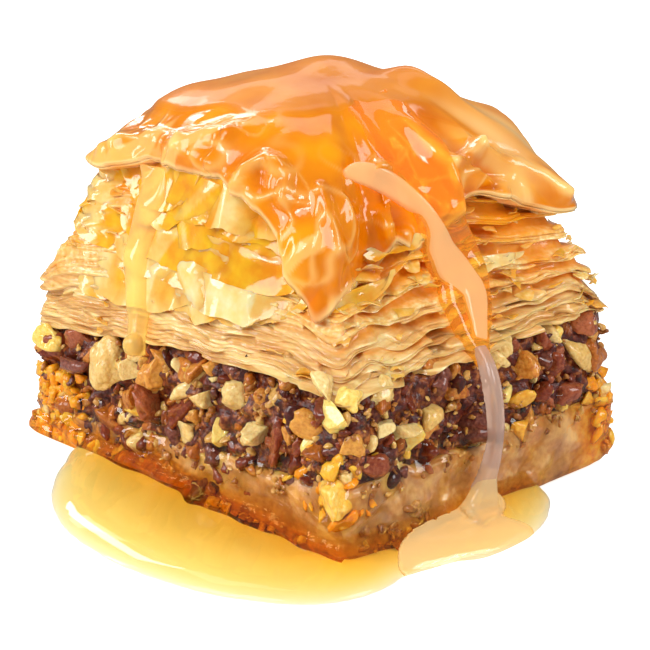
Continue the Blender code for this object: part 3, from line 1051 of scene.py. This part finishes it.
# Kinds of chip: share of all the chips, and how knobbly
KINDS = {
    "pale": (0.18, 0.2),
    "yellow": (0.04, 0.2),
    "tan": (0.26, 0.28),
    "brown": (0.28, 0.34),
    "dark": (0.24, 0.34),
}
CRUMB_KNOBS = 0.3
# The dark, middle and light colour of each kind of chip, and of the two kinds of crumb
NUT_COLOURS = {
    "pale": ((184, 128, 58), (230, 184, 100), (252, 224, 154)),
    "yellow": ((232, 146, 20), (252, 194, 70), (255, 228, 134)),
    "tan": ((124, 52, 8), (188, 104, 26), (232, 164, 70)),
    "brown": ((76, 16, 2), (134, 52, 20), (186, 104, 62)),
    "dark": ((34, 4, 2), (82, 24, 14), (150, 86, 66)),
    "meal": ((110, 50, 14), (180, 112, 44), (240, 190, 104)),
    "golden": ((232, 122, 0), (252, 160, 10), (255, 196, 60)),
}


def scatter_chips(heaps, draw):
    """The listed chips, then those all over the filling, then those low on the front left side."""
    kinds = list(KINDS)
    odds = [KINDS[kind][0] for kind in kinds]
    for kind, direction, share, out, size in SHOWN_CHIPS:
        place = chip_place(math.radians(direction), share, out - PRESSED_IN * size)
        chip(heaps[kind], draw, place, size, 4, KINDS[kind][1])
    for _ in range(CHIPS):
        kind = kinds[draw.choice(len(kinds), p=odds)]
        size = 1.2 + 2.8 * draw.uniform(0, 1) ** 1.6
        angle, share = draw.choice(SCATTER_PLACES), draw.uniform(-0.08, 0.93)
        place = chip_place(angle, share, draw.uniform(-0.7, 0.7) - PRESSED_IN * size)
        chip(heaps[kind], draw, place, size, 3 if size > 1.9 else 2, KINDS[kind][1])
    for _ in range(LOW_CHIPS):
        kind = kinds[draw.choice(len(kinds), p=odds)]
        angle, share = math.radians(draw.uniform(-134, -58)), draw.uniform(-0.45, 0.0)
        place = chip_place(angle, share, draw.uniform(-1.2, -0.5))
        chip(heaps[kind], draw, place, draw.uniform(1.4, 3.2), 3, KINDS[kind][1])


def scatter_crumbs(heaps, draw):
    """Meal all over the filling, then the clusters of crumbs."""
    for _ in range(CRUMBS):
        place = chip_place(draw.choice(SCATTER_PLACES), draw.uniform(-0.2, 0.98), draw.uniform(0.1, 0.8))
        chip(heaps["meal"], draw, place, draw.uniform(0.4, 1.1), 2, CRUMB_KNOBS)
    for kind, direction, spread, low, high, count, out, larger in CRUMB_CLUSTERS:
        for _ in range(count):
            angle = math.radians(draw.normal(direction, spread))
            place = chip_place(angle, draw.uniform(low, high), draw.uniform(-0.9, 0.2) + out)
            chip(heaps[kind], draw, place, draw.uniform(0.6, 1.9) * larger, 2, CRUMB_KNOBS)


def make_nuts():
    """Chips of five kinds pressed into the side of the paste, with two kinds of crumb between them."""
    draw = np.random.default_rng(SEED + 2)
    heaps = {kind: Heap() for kind in NUT_COLOURS}
    scatter_chips(heaps, draw)
    scatter_crumbs(heaps, draw)
    pieces = []
    for kind, heap in heaps.items():
        name = f"{kind}_nuts"
        pieces.append(heap.piece(name, nut_material(name, *NUT_COLOURS[kind]), "chopped_nuts"))
    return pieces


# -------- the base

BASE_SIDES = 640
BASE_ROWS = 44
BASE_CLEARANCE = 0.15


def crust_share(rings, height, angle, corners):
    """How much caramel crust shows: patches all along the foot, and a strip that rises in places."""
    turned = from_front_left(angle)
    strip = (2.0 + 3.4 * smoothstep(92.0, 30.0, turned)) * smoothstep(106.0, 100.0, turned)
    strip = strip + 2.2 * peak(np.degrees(angle), -22.0, 6.0)
    strip = strip + 1.8 * peak(np.degrees(angle), 6.0, 9.0)
    patches = noise(rings, 2.6, 86)
    crust = 0.8 * smoothstep(1.6, 0.3, height + 1.8 * patches)
    crust = np.maximum(crust, 0.95 * smoothstep(strip + 0.5, strip - 0.5, height + 0.5 * patches))
    return np.clip(crust, 0, 1) * (1 - 0.8 * corners)


def make_base():
    """The soaked leaves under the nuts, sunk together into a lumpy jelly."""
    angle = side_places(BASE_SIDES)[None]
    share = np.linspace(0, 1, BASE_ROWS)[:, None]
    foot = outline_radius(angle)
    top = base_top(foot * np.cos(angle), foot * np.sin(angle))
    height = BASE_CLEARANCE + (top - BASE_CLEARANCE) * share
    radius = foot - 0.7 * (1 - smoothstep(0, 0.12, share)) - 0.5 * smoothstep(0.9, 1.0, share)
    rings = polar(angle, radius, height)
    left_corner = peak(from_front_left(angle), 0, 11.0)
    right_corner = peak(np.degrees(angle), BACK_RIGHT, 7.0)
    lumps = 0.6 * noise(rings, 4.4, 83) + 0.36 * noise(rings, 1.8, 84) + 0.1 * noise(rings, 0.8, 85)
    lumps += left_corner * (0.5 * noise(rings, 1.1, 88) - 1.3) - 0.5 * right_corner
    rings += polar(angle, lumps * smoothstep(0.0, 0.1, share), 0.0)
    rings[..., 2] += 0.8 * noise(rings, 2.6, 89) * smoothstep(0.5, 1.0, share)
    crust = crust_share(rings, height, angle, np.maximum(left_corner, right_corner))
    amber = np.clip(1.6 * left_corner + 0.9 * right_corner + 0.35 * noise(rings, 4.0, 87), 0, 1)
    tones = {"crust": ring_tones(crust), "amber": ring_tones(amber)}
    return make_piece("soaked_base", loft(rings), base_material(), tones, ["base_pastry"])


# -------- honey

# The pool's outline round its own middle: outer edge on the front sides, inner edge hidden under the base
POOL_MIDDLE = (9.0, -21.0)
POOL_EDGE = (
    (-18.5, -22.6), (-16.6, -26.4), (-12.4, -31.4), (-5.4, -36.2), (5, -38.8), (16, -38),
    (25.6, -34.4), (32, -29), (34, -22.6), (33.2, -16.8), (34.4, -11), (36.1, -5.6),
    (35.8, 0.4), (33, 6.2), (28.6, 9.6), (22, 5), (12, -6), (0, -14), (-12, -18),
)
POOL_RIM_HEIGHT = 1.0
POOL_RIM = 2.8
EDGE_ROUND = 0.6


def footprint_distance(x, y):
    """How far a point is outside the base's outline, less than 0 inside it."""
    dx = np.abs(x) - HALF_LENGTH + EDGE_ROUND
    dy = np.abs(y) - HALF_WIDTH + EDGE_ROUND
    outside = np.hypot(np.maximum(dx, 0), np.maximum(dy, 0))
    return outside + np.minimum(np.maximum(dx, dy), 0) - EDGE_ROUND


def pool_parts():
    """The pool as a closed body: round at the rim, thicker inside, and drawn up where it wets the base."""
    offsets = np.array(POOL_EDGE) - POOL_MIDDLE
    direction = np.degrees(np.arctan2(offsets[:, 1], offsets[:, 0]))
    order = np.argsort(direction)
    table = np.stack([direction[order], np.hypot(offsets[:, 0], offsets[:, 1])[order]], axis=-1)
    angle = np.linspace(-math.pi, math.pi, 360, endpoint=False)[None]
    reach = around(table, angle)[0]
    inward = np.linspace(0, 1, 60)[:, None] ** 2.2
    radius = reach * (1 - 0.985 * inward)
    from_rim = np.clip((reach - radius) / POOL_RIM, 0, 1)
    height = POOL_RIM_HEIGHT * np.sqrt(1 - (1 - from_rim) ** 2)
    height += 0.14 * np.clip(reach - radius - 1.2, 0, 2.8) + 0.09 * np.clip(reach - radius - 4.0, 0, 12.0)
    top = polar(angle, radius, height)
    top[..., :2] += POOL_MIDDLE
    wavy = 0.06 + 0.3 * smoothstep(-20.0, 5.0, top[..., 1] + 0.3 * top[..., 0])
    top[..., 2] += wavy * noise(top * (1, 1, 0), 6.0, 94) * from_rim
    away = np.maximum(footprint_distance(top[..., 0], top[..., 1]), 0)
    top[..., 2] += 2.5 * np.exp(-away / 2.1) * from_rim
    under = top[:1].copy()
    under[..., 2] = FLOOR - 0.5
    return loft(np.concatenate([under, top]))


def trees_of(pieces):
    graph = bpy.context.evaluated_depsgraph_get()
    return [BVHTree.FromObject(piece, graph) for piece in pieces]


def depth_of(trees, places, ways, furthest):
    """How far it is from each place, going its way, to the nearest of the pieces."""
    result = np.full(places.shape[:-1], furthest)
    flat_places = (places * MM).reshape(-1, 3)
    flat_ways = np.broadcast_to(ways, places.shape).reshape(-1, 3)
    flat = result.ravel()
    for i, (place, way) in enumerate(zip(flat_places, flat_ways)):
        start, towards = Vector(place), Vector(way)
        for tree in trees:
            distance = tree.ray_cast(start, towards, furthest * MM)[3]
            if distance is not None:
                flat[i] = min(flat[i], distance / MM)
    return result


def blurred(grid, closed):
    """Each value averaged with its neighbours in a grid."""
    padded = np.pad(grid, ((1, 1), (0, 0)), mode="edge")
    grid = (padded[:-2] + 2 * padded[1:-1] + padded[2:]) / 4
    padded = np.pad(grid, ((0, 0), (1, 1)), mode="wrap" if closed else "edge")
    return (padded[:, :-2] + 2 * padded[:, 1:-1] + padded[:, 2:]) / 4


def filled(level, rounds, closed=False):
    """A smooth surface that lies on the high parts of another and fills its hollows, as liquid does."""
    result = level
    for _ in range(rounds):
        result = np.maximum(level - 0.15, blurred(result, closed))
    return blurred(blurred(result, closed), closed)


def spline(stations):
    """Places along a smooth line through the stations, eight for each stretch."""
    stations = np.array(stations, dtype=float)
    position = np.linspace(0, len(stations) - 1, (len(stations) - 1) * 8 + 1)
    index = np.minimum(position.astype(int), len(stations) - 2)
    before_first = 2 * stations[:1] - stations[1:2]
    after_last = 2 * stations[-1:] - stations[-2:-1]
    padded = np.concatenate([before_first, stations, after_last])
    return catmull_rom(*(padded[index + k] for k in range(4)), (position - index)[:, None])


TRAIL_COLUMNS = 27
TRAIL_ABOVE = 7.0
TRAIL_SUNK = 0.7
TRAIL_FILLS = 24


def trail_parts(stations, trees, seed=0):
    """A closed run of honey down a surface. Its stations are (x, y, z, width, thickness, sag): it sinks into
    hollows under its line by no more than its sag."""
    line = spline(stations)
    path, thickness = line[:, :3], line[:, 4:5]
    width = line[:, 3:4] * (1 + 0.2 * noise(path, 3.5, 96 + seed))[:, None]
    along = np.gradient(path, axis=0)
    along /= np.linalg.norm(along, axis=1, keepdims=True)
    outward = path * np.array((1, 1, 0)) + np.array((0, 0, 4.0))
    outward -= (outward * along).sum(axis=1, keepdims=True) * along
    outward /= np.linalg.norm(outward, axis=1, keepdims=True)
    across = np.cross(along, outward)
    w = np.linspace(-1, 1, TRAIL_COLUMNS)[None]
    places = path[:, None] + across[:, None] * (w * width / 2)[..., None]
    ways = np.broadcast_to(outward[:, None], places.shape)
    level = TRAIL_ABOVE - depth_of(trees, places + ways * TRAIL_ABOVE, -ways, 2 * TRAIL_ABOVE)
    level = np.clip(level, -line[:, 5:6], 2.5)
    ends = np.sin(np.pi * np.linspace(0.02, 0.98, len(path)))[:, None] ** 0.35
    rise = thickness * ends * np.maximum(1 - w**4, 0) ** 0.5 - 0.3 * np.abs(w) ** 12
    front = places + ways * (filled(level, TRAIL_FILLS) + rise)[..., None]
    back = places + ways * (level - TRAIL_SUNK)[..., None]
    return shell(front[::-1], back[::-1])


# Stations down each run of honey: x, y, z, width, thickness, sag. The milky pale band on the clear stream is
# a painted highlight, the strand hangs from the stream's end in front of the nuts, and its foot spreads on
# the pool.
STREAM = (
    (8, 0.6, 46.6, 6, 0.1, 2.5), (12.6, -0.4, 45, 7.2, 0.5, 2.5),
    (17.4, -1.4, 42.2, 7.4, 0.8, 2), (20.6, -1.4, 39, 6.4, 1, 1),
    (21.6, -0.8, 35.4, 6.4, 1.1, 0.9), (22.2, 0.4, 31.8, 7, 1.1, 0.9),
    (23.2, 1.2, 28.4, 7.6, 1, 0.9), (24.8, 0.8, 25.2, 7.2, 1, 0.9),
    (26.6, -0.4, 22.4, 5.2, 1.1, 0.5), (28.2, -0.9, 20.2, 2.6, 1.1, 0.1),
    (28.8, -1.1, 19, 1.4, 0.8, 0),
)
HIGHLIGHT_BAND = (
    (15.3, -9.9, 40.4, 1, 0.2, 0.3), (15.9, -8.6, 40.5, 2.6, 0.3, 0.3),
    (16.8, -7.2, 40.1, 3, 0.3, 0.4), (18.4, -5.2, 38.7, 2.8, 0.3, 0.4),
    (20.3, -3.2, 36.3, 1.9, 0.3, 0.5), (21.2, -2, 33.8, 2.2, 0.3, 0.5),
    (21.8, -1.2, 31, 4, 0.3, 0.5), (22.8, 0.2, 28.4, 4.4, 0.3, 0.5),
    (24.2, 1.6, 26, 3.4, 0.3, 0.5), (25.6, 0.9, 23.8, 2.8, 0.3, 0.4),
    (27.2, -0.5, 21.4, 2.2, 0.3, 0.2),
)
STRAND = (
    (28.3, -1.2, 21.4, 1.4, 0.8, 0), (29.5, -1.5, 19.7, 1.7, 1.1, 0),
    (30.9, -2, 17.4, 1.7, 1.1, 0), (31.2, -1.6, 13.8, 1.7, 1, 0),
    (31.1, -1.5, 10.4, 1.8, 1, 0), (30.7, -1.9, 7, 2.3, 1.1, 0),
    (30.4, -2.4, 4.6, 3, 0.8, 0.1),
)
STRAND_FOOT = (
    (30.9, -1.8, 7.4, 1.9, 0.9, 0), (30.6, -2.3, 4.6, 3.4, 1, 0.1),
    (30.7, -2.8, 2.8, 5, 0.8, 0.2), (31.4, -3.6, 1.8, 6, 0.5, 0.2),
    (32.2, -4.4, 1.4, 5, 0.2, 0.2),
)
DRIP = (
    (-9.6, -16.4, 37.2, 3, 0.4, 1.5), (-9.3, -17.8, 33.6, 5, 0.9, 1),
    (-9.8, -18.6, 30.4, 4.4, 1, 0.8), (-9.4, -19.6, 26.8, 3.6, 1.1, 0.5),
    (-8.4, -20.6, 23.4, 3.2, 1.1, 0.5), (-7.5, -21.6, 20.4, 2.7, 1.2, 0.3),
    (-6.7, -22.6, 17.8, 2.4, 1.3, 0), (-6.3, -22.9, 16.2, 2.4, 1.5, 0),
)
DROP_PLACE = (-6.2, -23.5, 17.7)
DROP_SIZE = 2.5


def droplet(centre, size):
    """A hanging drop: a ball drawn out a little downwards."""
    points, triangles = BALLS[3]
    return points * np.array((0.5, 0.5, 0.56)) * size + np.array(centre), [triangles]


# The pale patch on the pool by the strand's foot, a painted reflection: how far it spreads from its middle in
# each direction
REFLECTION_PATCH_MIDDLE = (31.6, -5.6)
REFLECTION_PATCH_ABOVE = 8.0
REFLECTION_PATCH_EDGE = (
    (-145, 2.6), (-120, 4.2), (-110, 6.5), (-100, 9.5), (-92, 11.5), (-84, 12.6),
    (-79, 10.9), (-73, 8.6), (-66, 7), (-58, 6.2), (-40, 5.7), (-25, 5.3),
    (-10, 5), (10, 4.9), (25, 5.2), (40, 5.9), (50, 6.8), (60, 7.4), (67, 6.8),
    (74, 5.6), (84, 4.8), (100, 7), (112, 7), (125, 4.2), (150, 2.7), (180, 2.3),
)


def reflection_patch_parts(pool):
    """The pale patch on the pool by the strand's foot, a painted reflection, as a thin closed lens that lies
    on the pool.
    """
    angle = np.linspace(-math.pi, math.pi, 240, endpoint=False)[None]
    inward = np.linspace(0, 1, 30)[:, None]
    top = polar(angle, around(REFLECTION_PATCH_EDGE, angle)[0] * (1 - 0.98 * inward), REFLECTION_PATCH_ABOVE)
    top[..., :2] += REFLECTION_PATCH_MIDDLE
    level = REFLECTION_PATCH_ABOVE - depth_of(pool, top, np.array((0, 0, -1.0)), REFLECTION_PATCH_ABOVE)
    top[..., 2] = level + 0.2 * inward**0.5 - 0.05
    under = top[:1].copy()
    under[..., 2] = level[:1] - 0.5
    return loft(np.concatenate([under, top]))


SYRUP_SIDES = 340
SYRUP_ROWS = 36
SYRUP_OUTSIDE = 10.0
# How high the syrup reaches, as a share of the filling's height, and the height of the skirt at its foot
SYRUP_REACH = 0.22
SKIRT_HEIGHT = 2.6


def syrup_parts(trees):
    """The syrup soaked out of the cut: a film over the base, with a thick skirt along its foot."""
    angle = side_places(SYRUP_SIDES)[None]
    share = np.linspace(0, 1, SYRUP_ROWS)[:, None]
    foot = outline_radius(angle)
    high = core_height(angle, SYRUP_REACH, foot)
    height = FLOOR + 0.3 + (high - FLOOR - 0.3) * share
    ways = polar(angle, -1.0, 0.0) + 0 * share[..., None]
    outside = polar(angle, foot + SYRUP_OUTSIDE, height)
    level = SYRUP_OUTSIDE - depth_of(trees, outside, ways, 2 * SYRUP_OUTSIDE)
    level = np.clip(level, -2.0, 2.0)
    places = polar(angle, foot, height)
    patches = 0.35 * noise(places, 5.5, 91) + 0.2 * noise(places, 2.2, 92)
    along = places * (1, 1, 0)
    skirt_top = SKIRT_HEIGHT + 1.1 * noise(along, 5.0, 93) + 0.5 * noise(along, 2.0, 95)
    in_front = angle > math.radians(FRONT_LEFT + 360.0)
    skirt = smoothstep(skirt_top + 0.25, skirt_top - 0.25, height) * (0.3 + 1.0 * in_front)
    film = 0.15 + patches - 0.5 * smoothstep(0.7, 0.95, share) + skirt
    film = np.where((share <= 0) | (share >= 1), -0.5, film)
    radius = foot + filled(level, 8, closed=True) + np.clip(film, -0.6, 1.8)
    front = polar(angle, radius, height)
    back = polar(angle, foot + np.minimum(level, 0) - 1.0, height)
    rings = np.concatenate([back[:1], front, back[::-1]])
    return closed_band(rings)


def merge(name, parts, voxel, rounds, material, slot, replaced=()):
    """Runs closed bodies together into one smooth body, as liquid does."""
    heap = Heap()
    for body in parts:
        heap.add(body)
    piece = heap.piece(name, material, slot, replaced)
    melt = piece.modifiers.new("melt", "REMESH")
    melt.mode = "VOXEL"
    melt.voxel_size = voxel * MM
    melt.use_smooth_shade = True
    smooth = piece.modifiers.new("smooth", "SMOOTH")
    smooth.factor = 0.5
    smooth.iterations = rounds
    apply_modifiers(piece)
    return piece


def apply_modifiers(piece):
    """Replaces the piece's mesh by what its modifiers make of it."""
    graph = bpy.context.evaluated_depsgraph_get()
    finished = bpy.data.meshes.new_from_object(piece.evaluated_get(graph))
    piece.modifiers.clear()
    piece.data = finished


def make_honey(pastry, inside):
    """The pool and the pale patch on it, which is a painted reflection, the stream with a pale band on it
    that is a painted highlight, the strand and drip that feed it, and the syrup over the base.
    """
    everything = trees_of(pastry + inside)
    clear = honey_material("honey")
    pool = merge("honey_pool_top", [pool_parts()], 0.48, 3, clear, "honey", ["honey_pool"])
    foot_and_reflection = [reflection_patch_parts(trees_of([pool])), trail_parts(STRAND_FOOT, everything)]
    merge("honey_landing_and_reflection", foot_and_reflection, 0.22, 4, honey_material("honey_landing_and_reflection"), "honey")
    stream = [trail_parts(STREAM, everything)]
    stream = merge("honey_stream", stream, 0.25, 3, honey_material("honey_run_off"), "honey")
    highlight_band = [trail_parts(HIGHLIGHT_BAND, everything + trees_of([stream]), seed=3)]
    merge("honey_highlight_band", highlight_band, 0.2, 4, honey_material("honey_highlight_band"), "honey")
    strand = [trail_parts(STRAND, everything)]
    merge("honey_strand", strand, 0.16, 3, honey_material("honey_strand"), "honey")
    drip = [trail_parts(DRIP, everything), droplet(DROP_PLACE, DROP_SIZE)]
    merge("honey_drip", drip, 0.2, 3, honey_material("honey_drip"), "honey")
    make_piece("syrup_film", syrup_parts(trees_of(inside)), honey_material("syrup"))


# -------- camera, light and floor

CAMERA_AZIMUTH = math.radians(46.62)
CAMERA_ELEVATION = math.radians(20.7)
CAMERA_DISTANCE = 300.0
CAMERA_TARGET = np.array((1.54, 0.0, 16.24))
CAMERA_LENS = 137.5


def away(azimuth, elevation):
    """The direction from the middle towards a place round the piece. Azimuth 0 is in front, at -Y."""
    flat = math.cos(elevation)
    return np.array((math.sin(azimuth) * flat, -math.cos(azimuth) * flat, math.sin(elevation)))


def aim(made, place, target):
    made.location = Vector(place * MM)
    made.rotation_euler = Vector((target - place)).to_track_quat("-Z", "Y").to_euler()


def make_camera():
    data = bpy.data.cameras.new("camera")
    data.lens = CAMERA_LENS
    data.sensor_width = 36.0
    data.clip_start = 0.01
    camera = bpy.data.objects.new("camera", data)
    bpy.context.scene.collection.objects.link(camera)
    aim(camera, CAMERA_TARGET + away(CAMERA_AZIMUTH, CAMERA_ELEVATION) * CAMERA_DISTANCE, CAMERA_TARGET)
    bpy.context.scene.camera = camera


LAMP_TARGET = np.array((0.0, 0.0, 20.0))
# Name, azimuth and elevation from the camera's side in degrees, distance, width, height, power
LAMPS = (
    ("left_box", -48, 42, 320, 190, 180, 0.54),
    ("left_strip", -90, 22, 320, 60, 150, 0.22),
    ("right_box", 62, 36, 320, 120, 170, 0.42),
    ("back_box", 190, 33, 320, 300, 46, 0.11),
    ("top_box", 180, 58, 330, 220, 100, 0.1),
    ("rim_strip", -150, 35, 320, 44, 130, 0.14),
    ("spark", -22, 48, 320, 34, 34, 0.06),
)


def softbox(name, azimuth, elevation, distance, width, height, power):
    """A rectangular lamp aimed at the piece."""
    data = bpy.data.lights.new(name, "AREA")
    data.shape = "RECTANGLE"
    data.size = width * MM
    data.size_y = height * MM
    data.energy = power
    lamp = bpy.data.objects.new(name, data)
    bpy.context.scene.collection.objects.link(lamp)
    place = LAMP_TARGET + away(CAMERA_AZIMUTH + math.radians(azimuth), math.radians(elevation)) * distance
    aim(lamp, place, LAMP_TARGET)


ROOM_FOR_SURFACES = 0.42
ROOM_IN_REFLECTIONS = 0.16


def make_light():
    world = bpy.data.worlds.new("studio")
    bpy.context.scene.world = world
    world.use_nodes = True
    tree = world.node_tree
    shown = tree.nodes["Background"].inputs
    shown["Color"].default_value = (1.0, 1.0, 1.0, 1.0)
    path = tree.nodes.new("ShaderNodeLightPath").outputs
    glossy = tree.nodes.new("ShaderNodeMapRange")
    glossy.inputs["To Min"].default_value = ROOM_FOR_SURFACES
    glossy.inputs["To Max"].default_value = ROOM_IN_REFLECTIONS
    seen = tree.nodes.new("ShaderNodeMix")
    seen.inputs["B"].default_value = 1.0
    tree.links.new(path["Is Glossy Ray"], glossy.inputs["Value"])
    tree.links.new(path["Is Camera Ray"], seen.inputs["Factor"])
    tree.links.new(glossy.outputs["Result"], seen.inputs["A"])
    tree.links.new(seen.outputs["Result"], shown["Strength"])
    for lamp in LAMPS:
        softbox(*lamp)
    view = bpy.context.scene.view_settings
    view.view_transform = "Standard"
    view.look = "None"
    view.exposure = 0.0


FLOOR_SIZE = 4000.0
FLOOR_SHADE = 0.89
FLOOR_SHADE_MIRRORED = 0.2
FLOOR_GLOW = 0.12
FLOOR_SHOWN = 0.62


def make_floor():
    """A white sweep, lit from within a little so that it shows as white as a studio backdrop."""
    size = FLOOR_SIZE
    corners = ((-size, -size), (size, -size), (size, size), (-size, size))
    points = np.array([(x, y, FLOOR) for x, y in corners])
    mesh = bpy.data.meshes.new("floor")
    mesh.from_pydata((points * MM).tolist(), [], [(0, 1, 2, 3)])
    s = Shader("floor")
    s.set(Roughness=0.9, Specular_IOR_Level=0.0, Emission_Color=(1.0, 1.0, 1.0, 1.0))
    path = s.node("ShaderNodeLightPath")
    through = s.math("SUBTRACT", 1.0, path.outputs["Is Transmission Ray"])
    mirrored = s.math("MULTIPLY", path.outputs["Is Glossy Ray"], through)
    s.set(Base_Color=s.mix(mirrored, (FLOOR_SHADE,) * 3 + (1.0,), (FLOOR_SHADE_MIRRORED,) * 3 + (1.0,)))
    glow = s.math("MULTIPLY_ADD", path.outputs["Is Camera Ray"], FLOOR_SHOWN - FLOOR_GLOW, FLOOR_GLOW)
    s.set(Emission_Strength=glow)
    mesh.materials.append(s.material)
    floor = bpy.data.objects.new("floor", mesh)
    bpy.context.scene.collection.objects.link(floor)


inside = [make_base(), make_nut_core(), *make_nuts()]
leaves = leaf_material()
pastry = [make_leaf_stack(leaves), make_flakes(leaves), make_draped_leaves(), make_cap()]
make_honey(pastry, inside)
make_camera()
make_light()
make_floor()
